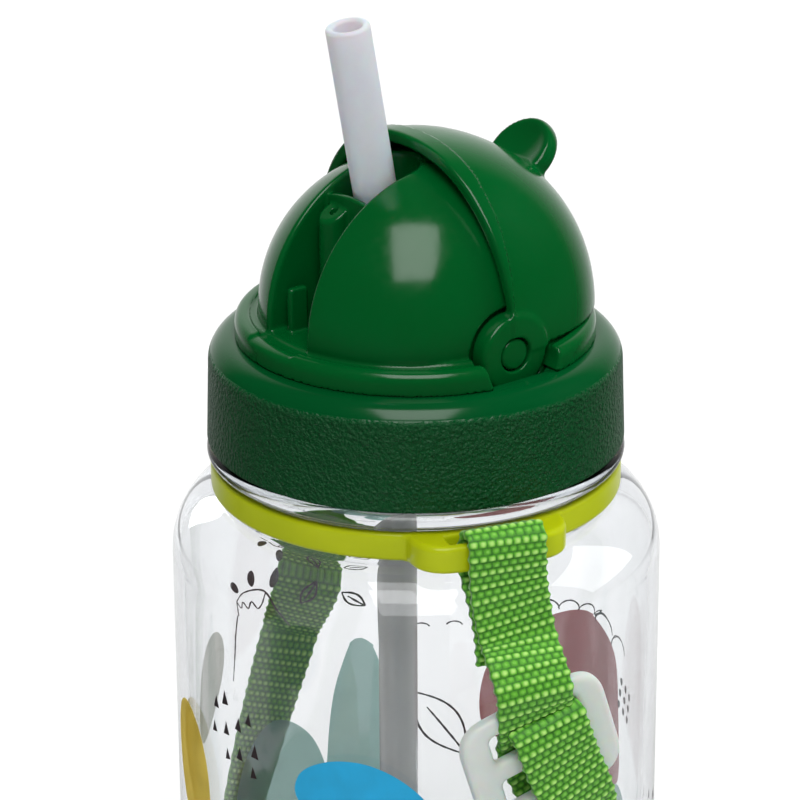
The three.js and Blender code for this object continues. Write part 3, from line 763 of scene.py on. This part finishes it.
# ---- clear body
def thread_height(angle, z, low_z, turns):
    """Height of a helical ridge over (angle, z), from 0 to 1."""
    along = np.mod(angle, 2 * math.pi) / (2 * math.pi)
    ridge = np.zeros(np.broadcast(angle, z).shape)
    for k in range(3):
        t = along + k
        fade = np.clip(np.minimum(t, turns - t) * 12, 0, 1)
        ridge = np.maximum(ridge, fade * np.exp(-((z - low_z - THREAD_PITCH * t) / 0.62) ** 4))
    return ridge


def make_body():
    rise = NECK_FOOT_Z - SHOULDER_Z
    neck_rows = [(NECK_R, z) for z in np.arange(BEAD_Z + BEAD_HALF + 0.3, NECK_TOP - 0.7, 0.35)]
    outer = [
        (8, 2.9), (20, 2.5), (25, 1.5), (27.4, 0.25), (28, 0), (33, 0),
        *arc(33, 4.5, BODY_R - 33, 4.5, -84, 0, 10),
        (BODY_R, 12), (BODY_R, 40), (BODY_R, 75), (BODY_R, 104),
        *arc(GROOVE_R, SHOULDER_Z, BODY_R - GROOVE_R, rise, 0, 86, 18),
        (GROOVE_R, NECK_FOOT_Z + 0.3), (GROOVE_R, BEAD_Z - BEAD_HALF - 0.2),
        *arc(GROOVE_R + 0.4, BEAD_Z, BEAD_R - GROOVE_R - 0.4, BEAD_HALF, -86, 86, 12),
        (NECK_R + 0.1, BEAD_Z + BEAD_HALF + 0.05),
    ]
    threaded = (len(outer), len(outer) + len(neck_rows))
    outer += neck_rows + arc(NECK_R - 0.6, NECK_TOP - 0.6, 0.6, 0.6, 0, 90, 5)
    inner = [
        *arc(NECK_BORE_R + 0.5, NECK_TOP - 0.5, 0.5, 0.5, 90, 180, 4),
        (NECK_BORE_R, 130), (NECK_BORE_R, 121), (NECK_BORE_R, NECK_FOOT_Z - 1.2),
        *arc(NECK_BORE_R, SHOULDER_Z - 0.5, BODY_R - WALL - NECK_BORE_R, rise - 1.4, 84, 0, 16),
        (BODY_R - WALL, 75), (BODY_R - WALL, 40), (BODY_R - WALL, 14),
        *arc(31, 9.2, BODY_R - WALL - 31, 5.7, 0, -86, 9),
        (26, 4.1), (18, 5.0), (8, 5.3),
    ]

    def ripple(angle, z, k):
        on = (k >= threaded[0]) & (k < threaded[1])
        return on * THREAD_RISE * thread_height(angle, z, 128.5, 1.6)

    piece = turned("clear_shell", outer + inner, CLEAR, 176, ripple)
    return place(piece, "bottle", "clear_body", "bottle_body")


make_body()


# ---- printed shapes on the outside of the body
PRINT_R = BODY_R + 0.06
PEN_WIDTH = 0.42
INKS = {
    "teal": (0.26, 0.52, 0.46),
    "blue": (0.0, 0.40, 0.74),
    "mustard": (0.58, 0.40, 0.04),
    "maroon": (0.30, 0.070, 0.075),
    "beige": (0.55, 0.54, 0.44),
    "line": (0.035, 0.025, 0.027),
}


def closed_curve(points):
    """A smooth closed outline through the points."""
    points = np.asarray(points, float)
    flat = np.concatenate([points, points, points])
    flat = np.column_stack([flat, np.zeros(len(flat))])
    line = smooth_line(flat, 1.0)
    spacing = max(24, 8 * len(points))
    lengths = lengths_along(flat)
    third = len(points)
    start, end = lengths[third] / lengths[-1], lengths[2 * third] / lengths[-1]
    at = np.linspace(start, end, spacing, endpoint=False) * (len(line) - 1)
    return np.stack([np.interp(at, np.arange(len(line)), line[:, k]) for k in (0, 1)], 1)


def bend_onto_body(points, degrees):
    angle = math.radians(degrees) + points[:, 0] / PRINT_R
    return np.stack([PRINT_R * np.cos(angle), PRINT_R * np.sin(angle), points[:, 1]], 1)


def filled(shapes):
    """Flat closed outlines, cut into narrow strips and bent round the body, as points and faces."""
    all_points, all_faces = [], []
    for degrees, outline in shapes:
        flat = bmesh.new()
        flat.faces.new([flat.verts.new((u, v, 0)) for u, v in outline])
        for cut_at in np.arange(outline[:, 0].min() + 1.5, outline[:, 0].max(), 1.5):
            parts = list(flat.verts) + list(flat.edges) + list(flat.faces)
            bmesh.ops.bisect_plane(flat, geom=parts, plane_co=(float(cut_at), 0, 0), plane_no=(1, 0, 0))
        bmesh.ops.triangulate(flat, faces=flat.faces)
        flat.verts.index_update()
        offset = sum(len(p) for p in all_points)
        all_points.append(bend_onto_body(np.array([v.co[:2] for v in flat.verts]), degrees))
        all_faces += [[v.index + offset for v in face.verts] for face in flat.faces]
        flat.free()
    return np.vstack(all_points), all_faces


def stroked(strokes):
    """Pen lines bent round the body, thinner at their ends, as points and faces."""
    all_points, all_faces = [], []
    for degrees, stroke in strokes:
        flat = np.column_stack([stroke, np.zeros(len(stroke))])
        line = smooth_line(flat, 0.4)[:, :2]
        way = unit(np.gradient(line, axis=0))
        side = np.stack([-way[:, 1], way[:, 0]], 1)
        t = np.linspace(0, 1, len(line))
        swell = 0.65 + 0.35 * np.sin(math.pi * t) + 0.12 * np.sin(t * len(line) * 1.3)
        half = PEN_WIDTH / 2 * swell[:, None]
        offset = sum(len(p) for p in all_points)
        pair = np.stack([line + side * half, line - side * half], 1).reshape(-1, 2)
        all_points.append(bend_onto_body(pair, degrees))
        k = offset + 2 * np.arange(len(line) - 1)
        all_faces += np.stack([k, k + 1, k + 3, k + 2], 1).tolist()
    return np.vstack(all_points), all_faces


def hill(half, low, top, lean=0.0):
    return closed_curve([
        (-half, low), (-half * 0.98, low + (top - low) * 0.45),
        (-half * 0.62 + lean, low + (top - low) * 0.86), (lean, top),
        (half * 0.62 + lean, low + (top - low) * 0.84), (half, low + (top - low) * 0.42), (half, low),
        (half * 0.6, low - 1.5), (-half * 0.6, low - 1.5),
    ])


def tilted(u, v, z, tilt):
    c, d = math.cos(tilt), math.sin(tilt)
    return np.stack([c * u - d * v, z + d * u + c * v], 1)


def pebble(half_u, half_v, z, tilt=0.0):
    t = np.linspace(0, 2 * math.pi, 40, endpoint=False)
    return tilted(half_u * np.cos(t) * (1 + 0.12 * np.sin(t)), half_v * np.sin(t), z, tilt)


def triangle(u, z, size, lean):
    t = np.radians([90, 215, 325]) + lean
    return np.stack([u + 0.62 * size * np.cos(t), z + size * np.sin(t)], 1)


def leaf(z, length, tilt):
    """Two curved sides and a middle vein, as three strokes."""
    t = np.linspace(0, 1, 9)
    strokes = []
    for bulge, reach in ((0.24, 1.0), (-0.24, 1.0), (0.0, 0.75)):
        strokes.append(tilted(length * (t * reach - 0.5), length * bulge * np.sin(math.pi * t), z, tilt))
    return strokes


def small_arc(z, radius, span=150):
    t = np.radians(np.linspace(90 - span / 2, 90 + span / 2, 9))
    return np.stack([radius * np.cos(t), z + radius * np.sin(t)], 1)


def make_prints():
    blue = closed_curve([
        (-10.5, 81), (-9.8, 84.8), (-5.5, 87.6), (0, 88.2), (5, 86.4), (9.5, 82.5), (12.5, 77), (12, 70),
        (8, 65.5), (0, 65), (-3.5, 69), (-4, 75.5), (-7, 78),
    ])
    fills = {
        "teal": [
            (-176, hill(12.2, 30, 63.4)), (158, hill(6.4, 31, 75.3)), (75, hill(6.5, 34, 58)),
            (-140, hill(11, 14, 38)), (-20, hill(12, 12, 44, 1.5)),
        ],
        "blue": [(-50, blue), (55, pebble(11, 7, 44, 0.3)), (-110, pebble(9, 6, 24, -0.2))],
        "mustard": [(-104, pebble(6.0, 11.2, 76, 0.25)), (20, hill(8, 12, 40, -1)), (118, pebble(7, 5, 30))],
        "maroon": [(100, hill(16, 58, 85.4, -3)), (-75, hill(10, 14, 40, 2))],
        "beige": [(-147, pebble(5.0, 9.4, 77, 0.5)), (-30, pebble(6, 4, 56)), (160, pebble(8, 6, 20))],
    }
    for name, shapes in fills.items():
        points, faces = filled(shapes)
        place(new_mesh("print_" + name, points, faces, ink(name, INKS[name])), "bottle", "clear_body")
    marks = []
    spots = (
        (-5.6, 91.2, 1.35), (-3.4, 92.6, 1.5), (1.8, 90.8, 1.3), (-6.2, 86.9, 1.2), (-3.2, 87.6, 1.4),
        (-0.4, 89.2, 1.45), (-3.0, 83.4, 1.2), (-0.2, 84.4, 1.4), (3.0, 85.8, 1.5), (2.6, 82.2, 1.25),
    )
    for k, (u, z, size) in enumerate(spots):
        marks.append((-82, triangle(u, z, size, 0.12 * math.sin(2.3 * k))))
    for k in range(8):
        up = 62 + 4.4 * (k // 4) + 0.8 * (k % 2)
        marks.append((35, triangle(3.2 * (k % 4) - 5, up, 1.3, 0.1 * math.sin(k))))
    for k in range(9):
        across, up = k % 3, k // 3
        aside = np.array([2.0 * across - 2, 0.6 * across])
        marks.append((73 - 0.6 * up, pebble(0.5, 0.7, 71.5 + 2.2 * up) + aside))
    for u, z, tilt in ((-4.6, 92.0, 0.5), (0.4, 93.0, 0.0), (5.0, 92.0, -0.5)):
        marks.append((-172.5, pebble(0.85, 1.5, z, tilt) + np.array([u, 0])))
    strokes = [(-172.5, mark) for mark in (
        np.array([(7.6, 74.4), (6.8, 79.5), (6.2, 85), (5.4, 88.6)]),
        np.array([(5.4, 88.6), (3, 90.4), (-1.2, 90.6), (-2.6, 89.8), (-4.4, 85), (-6.4, 80)]),
        np.array([
            (5.4, 88.6), (4.6, 86.6), (3.6, 88.2), (2.6, 86.2), (1.2, 88.0), (0, 85.9), (-1.2, 87.0),
            (-2.6, 89.8),
        ]),
    )]
    strokes += [(170.5, mark) for mark in leaf(88.4, 5.2, -0.9)]
    strokes += [(158.5, mark) for mark in leaf(86.6, 5.0, 0.7)]
    strokes += [(136.5, mark) for mark in leaf(58.5, 15.0, 0.9)]
    strokes += [(141.5, small_arc(78.6, 1.4)), (133, small_arc(79.2, 1.4)), (-60, small_arc(55, 1.6))]
    strokes += [(100 + 7.5 * k, small_arc(85.1 - 0.36 * k * k, 2.6, 170)) for k in range(-3, 3)]
    strokes += [(-5, mark) for mark in leaf(62, 13, 1.1)] + [(-120, mark) for mark in leaf(52, 12, 0.6)]
    points, faces = filled(marks)
    more_points, more_faces = stroked(strokes)
    faces += [[k + len(points) for k in face] for face in more_faces]
    line_mesh = new_mesh("print_line", np.vstack([points, more_points]), faces, ink("line", INKS["line"]))
    place(line_mesh, "bottle", "clear_body")


make_prints()


# ---- screw cap
def cap_field(x, y, z):
    r = np.hypot(x, y)
    rho = np.hypot(y, z - HINGE_Z)
    over = np.maximum(z - CAP_SHOULDER_Z, 0) / (CAP_TOP - CAP_SHOULDER_Z)
    skirt = CAP_R - (CAP_R - CAP_SHOULDER_R) * np.clip((z - CAP_Z) / (CAP_SHOULDER_Z - CAP_Z), 0, 1)
    edge = skirt - CAP_SHOULDER_IN * (1 - np.sqrt(np.clip(1 - over ** 2, 0, 1)))
    shell = both(r - edge, z - CAP_TOP, 0.6)
    shell = both(shell, CAP_Z - z, 0.5)
    thread = THREAD_RISE * thread_height(np.arctan2(y, x), z, 129.5, 1.4)
    inside = both(r - (CAP_BORE_R - thread), z - (CAP_TOP - CAP_PLATE), 0.3)
    shell = cut(shell, inside, 0.3)
    shell = cut(shell, r - CAP_HOLE_R, 0.5)
    relief = both(rho - (BOSS_R + 2 * GAP), np.abs(np.abs(x) - RELIEF_X) - RELIEF_HALF, 0.4)
    return cut(shell, relief, 0.8)


def make_cap():
    piece = field_mesh("screw_cap", "lid_collar", 0.42, cap_field, GRAINED)
    return place(piece, "lid", "grained_plastic", "lid_collar")


make_cap()


# ---- cover and dome
def envelope(x, y, z, inset):
    """Distance, near the surface, to the cover's rounded outline about the hinge axis."""
    a, b, p = COVER_HALF_X - inset, COVER_R - inset, COVER_POWER
    u = np.maximum(np.abs(x) / a, 1e-6)
    v = np.maximum(np.hypot(y, z - HINGE_Z) / b, 1e-6)
    q = (u ** p + v ** p) ** (1 / p)
    steep = q ** (1 - p) * np.hypot(u ** (p - 1) / a, v ** (p - 1) / b)
    return (q - 1) / np.maximum(steep, 1e-6)


def tab_field(x, y, z):
    """The thumb tab: a dished disc behind the cover, its face forward and up."""
    out = Vector((0, math.sin(TAB_BACK), math.cos(TAB_BACK)))
    face = Vector((0, -math.cos(TAB_BACK), math.sin(TAB_BACK)))
    centre = Vector((0, 0, HINGE_Z)) + out * TAB_OUT
    dx, dy, dz = x - centre.x, y - centre.y, z - centre.z
    w = dx * face.x + dy * face.y + dz * face.z
    flat = np.sqrt(np.maximum(dx * dx + dy * dy + dz * dz - w * w, 1e-9))
    disc = both(flat - TAB_R, np.abs(w) - TAB_THICK / 2, 1.6)
    dish = centre + face * (TAB_THICK / 2 + DISH_R - DISH_DEEP) + out * 0.8
    hollow = np.sqrt((x - dish.x) ** 2 + (y - dish.y) ** 2 + (z - dish.z) ** 2) - DISH_R
    return cut(disc, hollow, 0.5)


def cover_field(x, y, z):
    rise = z - HINGE_Z
    rho = np.hypot(y, rise)
    ahead = -y * math.cos(RIM_LEAN) - rise * math.sin(RIM_LEAN)
    outer = envelope(x, y, z, 0)
    behind = (y + RIM_BAND_AHEAD) * math.cos(RIM_BAND_LEAN) - rise * math.sin(RIM_BAND_LEAN)
    rim = both(envelope(x, y, z, -0.4), behind, 0.3)
    solid = join(outer, tab_field(x, y, z), 1.0)
    solid = join(solid, rim, 0.25)
    shell = cut(solid, envelope(x, y, z, COVER_WALL), 0.4)
    shell = both(shell, ahead, 0.7)
    shell = both(shell, COVER_TAIL_Z - z, 0.25)
    boss = both(rho - BOSS_R, np.abs(np.abs(x) - (BOSS_IN_X + BOSS_OUT_X) / 2) - 1.65, 0.8)
    shell = join(shell, boss, 1.0)
    return cut(shell, rho - (PIN_R + GAP), 0.3)


def make_cover():
    piece = field_mesh("cover_shell", "flip_cover", 0.42, cover_field, GREEN)
    return place(piece, "cover", "green_plastic", "flip_cover")


def housing_field(x, y, z):
    r = np.hypot(x, y)
    rho = np.hypot(y, z - HINGE_Z)
    tier = both(both(r - TIER_R, z - TIER_TOP, 1.9), CAP_TOP + 0.05 - z, 0.1)
    tier = cut(tier, both(r - TIER_STEP_R, TIER_TOP - 0.5 - z, 0.4), 0.4)
    plug_high = CAP_TOP + GAP
    flange_high = CAP_TOP - CAP_PLATE - GAP
    plug = both(r - PLUG_R, np.abs(z - (PLUG_LOW + plug_high) / 2) - (plug_high - PLUG_LOW) / 2, 0.3)
    flange = both(
        r - PLUG_FLANGE_R, np.abs(z - (PLUG_LOW + flange_high) / 2) - (flange_high - PLUG_LOW) / 2, 0.3,
    )
    ball = np.sqrt(x * x + y * y + (z - DOME_Z) ** 2)
    dome = both(ball - DOME_R, DOME_Z - 2 - z, 0.3)
    solid = join(join(join(tier, dome, 0.6), plug, 0.2), flange, 0.2)
    hollow_r = DOME_R - DOME_WALL
    hollow = np.where(z > DOME_Z, ball - hollow_r, r - hollow_r)
    slot_half = (SLOT_RIGHT_X - SLOT_LEFT_X) / 2
    aside = x - (SLOT_RIGHT_X + SLOT_LEFT_X) / 2
    back = np.where(y < SLOT_BACK_Y, np.abs(aside), np.hypot(aside, y - SLOT_BACK_Y))
    hollow = cut(hollow, both(back - (slot_half + DOME_WALL), SLOT_FLOOR - DOME_WALL - z), 0.3)
    pins = both(both(PIN_BLOCK_X - np.abs(x), np.abs(y) - PIN_BLOCK_HALF), z - HINGE_Z - PIN_BLOCK_HALF)
    hollow = cut(hollow, pins, 0.3)
    solid = cut(solid, hollow, 0.3)
    solid = cut(solid, both(back - slot_half, SLOT_FLOOR - z, 0.6), 0.9)
    slant = VENT_SLANT[0] * (y - VENT_Y) + VENT_SLANT[1] * (z - VENT_TOP)
    round_post = np.hypot(x - VENT_X, y - VENT_Y)
    post = both(both(round_post - VENT_R, slant, 0.5), SLOT_FLOOR - 1 - z, 0.3)
    post = cut(post, both(round_post - 0.55, 150 - z), 0.2)
    low = (SLOT_LEFT_X - DOME_WALL, CROSS_WALL_Y[0], SLOT_FLOOR - 1)
    high = (SLOT_RIGHT_X + DOME_WALL, CROSS_WALL_Y[1], 170)
    wall = box_distance(x, y, z, low, high, 0.3)
    post = join(post, both(wall, np.hypot(x, z - CROSS_WALL_ARCH_Z) - CROSS_WALL_ARCH_R, 0.3), 0.4)
    shelf = box_distance(x, y, z, (-4.7, -20.4, SLOT_FLOOR - 1), (-3.4, -17.2, 152.4), 0.5)
    solid = join(join(solid, post, 0.4), shelf, 0.3)
    solid = cut(solid, both(both(POCKET_X - np.abs(x), rho - POCKET_R, 0.4), POCKET_FLOOR - z), 0.5)
    solid = cut(solid, both(-envelope(x, y, z, 2.0), TIER_TOP - z), 0.4)
    solid = cut(solid, both(rho - (PIN_R + GAP), 17.2 - np.abs(x)), 0.2)
    grommet = both(np.hypot(x, y - SOCKET_Y) - (GROMMET_R + GAP), z - SLOT_FLOOR)
    return cut(solid, grommet, 0.3)


def make_housing():
    piece = field_mesh("dome_housing", "spout_housing", 0.4, housing_field, GREEN)
    return place(piece, "lid", "green_plastic", "spout_housing")


def make_pin(side):
    """Pin with a slightly domed, rounded end, drawn along Z and then turned onto the hinge axis."""
    name = "pivot_pin_right" if side > 0 else "pivot_pin_left"
    ends = sorted(abs(v) for v in (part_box(name)[0].x / MM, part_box(name)[1].x / MM))
    outline = [(0.6, 0), (PIN_R, 0), (PIN_R, ends[1] - ends[0] - 0.5)]
    outline += arc(PIN_R - 0.5, ends[1] - ends[0] - 0.5, 0.5, 0.45, 10, 90, 5) + [(0.9, ends[1] - ends[0])]
    piece = turned(name + "_end", outline, GREEN, 48)
    turn = Matrix.Rotation(side * math.pi / 2, 4, "Y")
    piece.data.transform(Matrix.Translation((side * ends[0] * MM, 0, HINGE_Z * MM)) @ turn)
    return place(piece, "lid", "green_plastic", name)


make_cover()
make_housing()
make_pin(1)
make_pin(-1)


def open_rings(piece, levels):
    """Takes out the flat ring at each level, where the next stretch of tube carries on."""
    shape = bmesh.new()
    shape.from_mesh(piece.data)
    rings = [
        face for face in shape.faces
        if any(all(abs(corner.co.z - level * MM) < 1e-6 for corner in face.verts) for level in levels)
    ]
    bmesh.ops.delete(shape, geom=rings, context="FACES_ONLY")
    shape.to_mesh(piece.data)
    shape.free()


def spout_tube(name, start, end, seams, tip=False):
    """A stretch of the soft tube, with shallow ribs inside its lower part; the tip has a rounded lip."""
    distance = np.linspace(start, end, round((end - start) / 0.25) + 1)
    inner = SPOUT_BORE_R - 0.28 * (np.sin(distance * 2.6) > 0.2) * (distance > 12) * (distance < 22.5)
    plain = slice(0, -2 if tip else None)
    rows = [(SPOUT_R, s) for s in distance[plain]]
    if tip:
        wall = (SPOUT_R - SPOUT_BORE_R) / 2
        rows += arc(SPOUT_BORE_R + wall, end - 0.5, wall, 0.5, 0, 180, 10)
    rows += list(zip(inner[plain], distance[plain]))[::-1]
    piece = turned(name, rows, SILICONE, 64, closes=True)
    open_rings(piece, [level for level in (start, end) if level in seams])
    turn = Matrix.Rotation(SPOUT_LEAN, 4, "X")
    piece.data.transform(Matrix.Translation(SPOUT_FOOT * MM) @ turn)
    return piece


def make_spout():
    cuts = [-3.4, (SPOUT_KNEES[0] + SPOUT_KNEES[1]) / 2, (SPOUT_KNEES[1] + SPOUT_KNEES[2]) / 2, SPOUT_END]
    replaced = ["spout_elbow_lower", "spout_elbow_upper", "spout_tube"]
    for k, knee in enumerate(SPOUT_KNEES):
        piece = spout_tube("soft_spout_%d" % (k + 1), cuts[k], cuts[k + 1], cuts[1:3], tip=k == 2)
        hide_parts(replaced[k])
        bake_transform(piece)
    grommet = [
        (3.35, 139.6), *arc(3.6, 139.9, 0.3, 0.3, 200, 340, 4), (GROMMET_R, 140.2),
        (GROMMET_R, 145.5), (3.6, SLOT_FLOOR), (3.6, 146.9), *arc(3.3, 147.0, 0.3, 0.4, 10, 90, 5),
        (2.2, 147.4), (2.1, 145), (3.3, 144.7),
    ]
    root = turned("spout_grommet", grommet, SILICONE, 64, closes=True)
    root.data.transform(Matrix.Translation((0, SOCKET_Y * MM, 0)))
    place(root, "lid", "silicone", "spout_root")


def make_straw():
    low, high = (corner.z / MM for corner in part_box("lower_straw"))
    outline = [
        *arc(2.65, low + 0.35, 0.35, 0.35, 180, 360, 6), (3.0, 60), (3.0, 110),
        *arc(2.65, high - 0.35, 0.35, 0.35, 0, 180, 6), (2.3, 110), (2.3, 60),
    ]
    piece = turned("inner_straw", outline, STRAW, 64, closes=True)
    piece.data.transform(Matrix.Translation((0, SOCKET_Y * MM, 0)))
    place(piece, "lid", "straw_plastic", "lower_straw")


def make_seals():
    low, high = (corner.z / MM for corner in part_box("lid_seal"))
    outline = [
        *arc(27.4, low + 0.4, 0.5, 0.4, 180, 270, 3), *arc(29.4, low + 0.4, 0.5, 0.4, 270, 360, 3),
        *arc(29.4, high - 0.4, 0.5, 0.4, 0, 90, 3), *arc(27.4, high - 0.4, 0.5, 0.4, 90, 180, 3),
    ]
    place(turned("seal_ring", outline, SILICONE, 128, closes=True), "seal", "seal_silicone", "lid_seal")
    low, high = (corner.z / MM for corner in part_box("vent_valve"))
    outline = [
        (0.4, low), *arc(0.9, low + 0.3, 0.3, 0.3, -90, 0, 3), (1.2, low + 1.8),
        *arc(2.7, high - 0.5, 0.3, 0.5, -60, 90, 5), (0.5, high),
    ]
    piece = turned("vent_flap", outline, SILICONE, 40)
    piece.data.transform(Matrix.Translation((VENT_X * MM, VENT_Y * MM, 0)))
    place(piece, "lid", "seal_silicone", "vent_valve")


make_spout()
make_straw()
make_seals()


# ---- stage and light
LIGHT_AIM_Z = 0.14


def make_stage():
    bpy.ops.mesh.primitive_plane_add(size=8, location=(0, 0, -0.0002))
    floor = bpy.context.object
    floor.name = "floor"
    made = material("paper", Roughness=0.8)
    vary(made, (0.92, 0.92, 0.92), (0.94, 0.94, 0.94), 40)
    floor.data.materials.append(made)
    floor.visible_glossy = False


def area_light(name, location, size, power, tall=None):
    data = bpy.data.lights.new(name, "AREA")
    data.shape = "RECTANGLE" if tall else "SQUARE"
    data.size = size
    if tall:
        data.size_y = tall
    data.energy = power
    light = bpy.data.objects.new(name, data)
    bpy.context.scene.collection.objects.link(light)
    light.location = location
    light.rotation_mode = "QUATERNION"
    light.rotation_quaternion = (Vector((0, 0, LIGHT_AIM_Z)) - Vector(location)).to_track_quat("-Z", "Y")
    return light


def make_light():
    def around(azimuth, rise, distance):
        a, e = math.radians(azimuth), math.radians(rise)
        return (
            distance * math.sin(a) * math.cos(e), -distance * math.cos(a) * math.cos(e),
            LIGHT_AIM_Z + distance * math.sin(e),
        )

    area_light("key", around(53, 59, 0.9), 0.5, 5.6, tall=0.7)
    for fill in (
        area_light("back_left", around(-105, 22, 1.4), 0.7, 7),
        area_light("back_right", around(160, 28, 1.4), 0.9, 10),
        area_light("overhead", (-0.35, 0.5, 1.5), 1.0, 6),
    ):
        fill.visible_glossy = False
    world = bpy.data.worlds.new("studio")
    bpy.context.scene.world = world
    world.use_nodes = True
    tree = world.node_tree
    tree.nodes.clear()
    maths = partial(math_node, tree)

    def background(strength):
        new = tree.nodes.new("ShaderNodeBackground")
        new.inputs["Color"].default_value = (1, 1, 1, 1)
        if isinstance(strength, (int, float)):
            new.inputs["Strength"].default_value = strength
        else:
            tree.links.new(strength, new.inputs["Strength"])
        return new.outputs[0]

    def mixed(factor, a, b):
        new = tree.nodes.new("ShaderNodeMixShader")
        tree.links.new(factor, new.inputs["Fac"])
        tree.links.new(a, new.inputs[1])
        tree.links.new(b, new.inputs[2])
        return new.outputs[0]

    path = tree.nodes.new("ShaderNodeLightPath")
    where = tree.nodes.new("ShaderNodeTexCoord")
    split = tree.nodes.new("ShaderNodeSeparateXYZ")
    tree.links.new(where.outputs["Generated"], split.inputs["Vector"])
    towards = maths(
        "ADD", maths("MULTIPLY", split.outputs["X"], math.sin(CAMERA_AZIMUTH)),
        maths("MULTIPLY", split.outputs["Y"], -math.cos(CAMERA_AZIMUTH)),
    )
    # Through the clear body the room is white behind and in front, and grey to the sides.
    across = maths("MULTIPLY", maths("SUBTRACT", maths("ABSOLUTE", towards), 0.12), 2.2, clamp=True)
    through = maths("ADD", maths("MULTIPLY", across, 0.72), 0.28)
    # Reflections find a dim room in front of the bottle and a white one behind it.
    behind = maths("MULTIPLY", maths("SUBTRACT", -0.55, towards), 2.6, clamp=True)
    reflected = maths("ADD", maths("MULTIPLY", behind, 0.85), 0.03)
    glossy = mixed(path.outputs["Is Glossy Ray"], background(0.22), background(reflected))
    clear = mixed(path.outputs["Is Transmission Ray"], glossy, background(through))
    out = tree.nodes.new("ShaderNodeOutputWorld")
    tree.links.new(mixed(path.outputs["Is Camera Ray"], clear, background(1.0)), out.inputs["Surface"])
    bpy.context.scene.view_settings.view_transform = "Standard"


make_stage()
make_light()
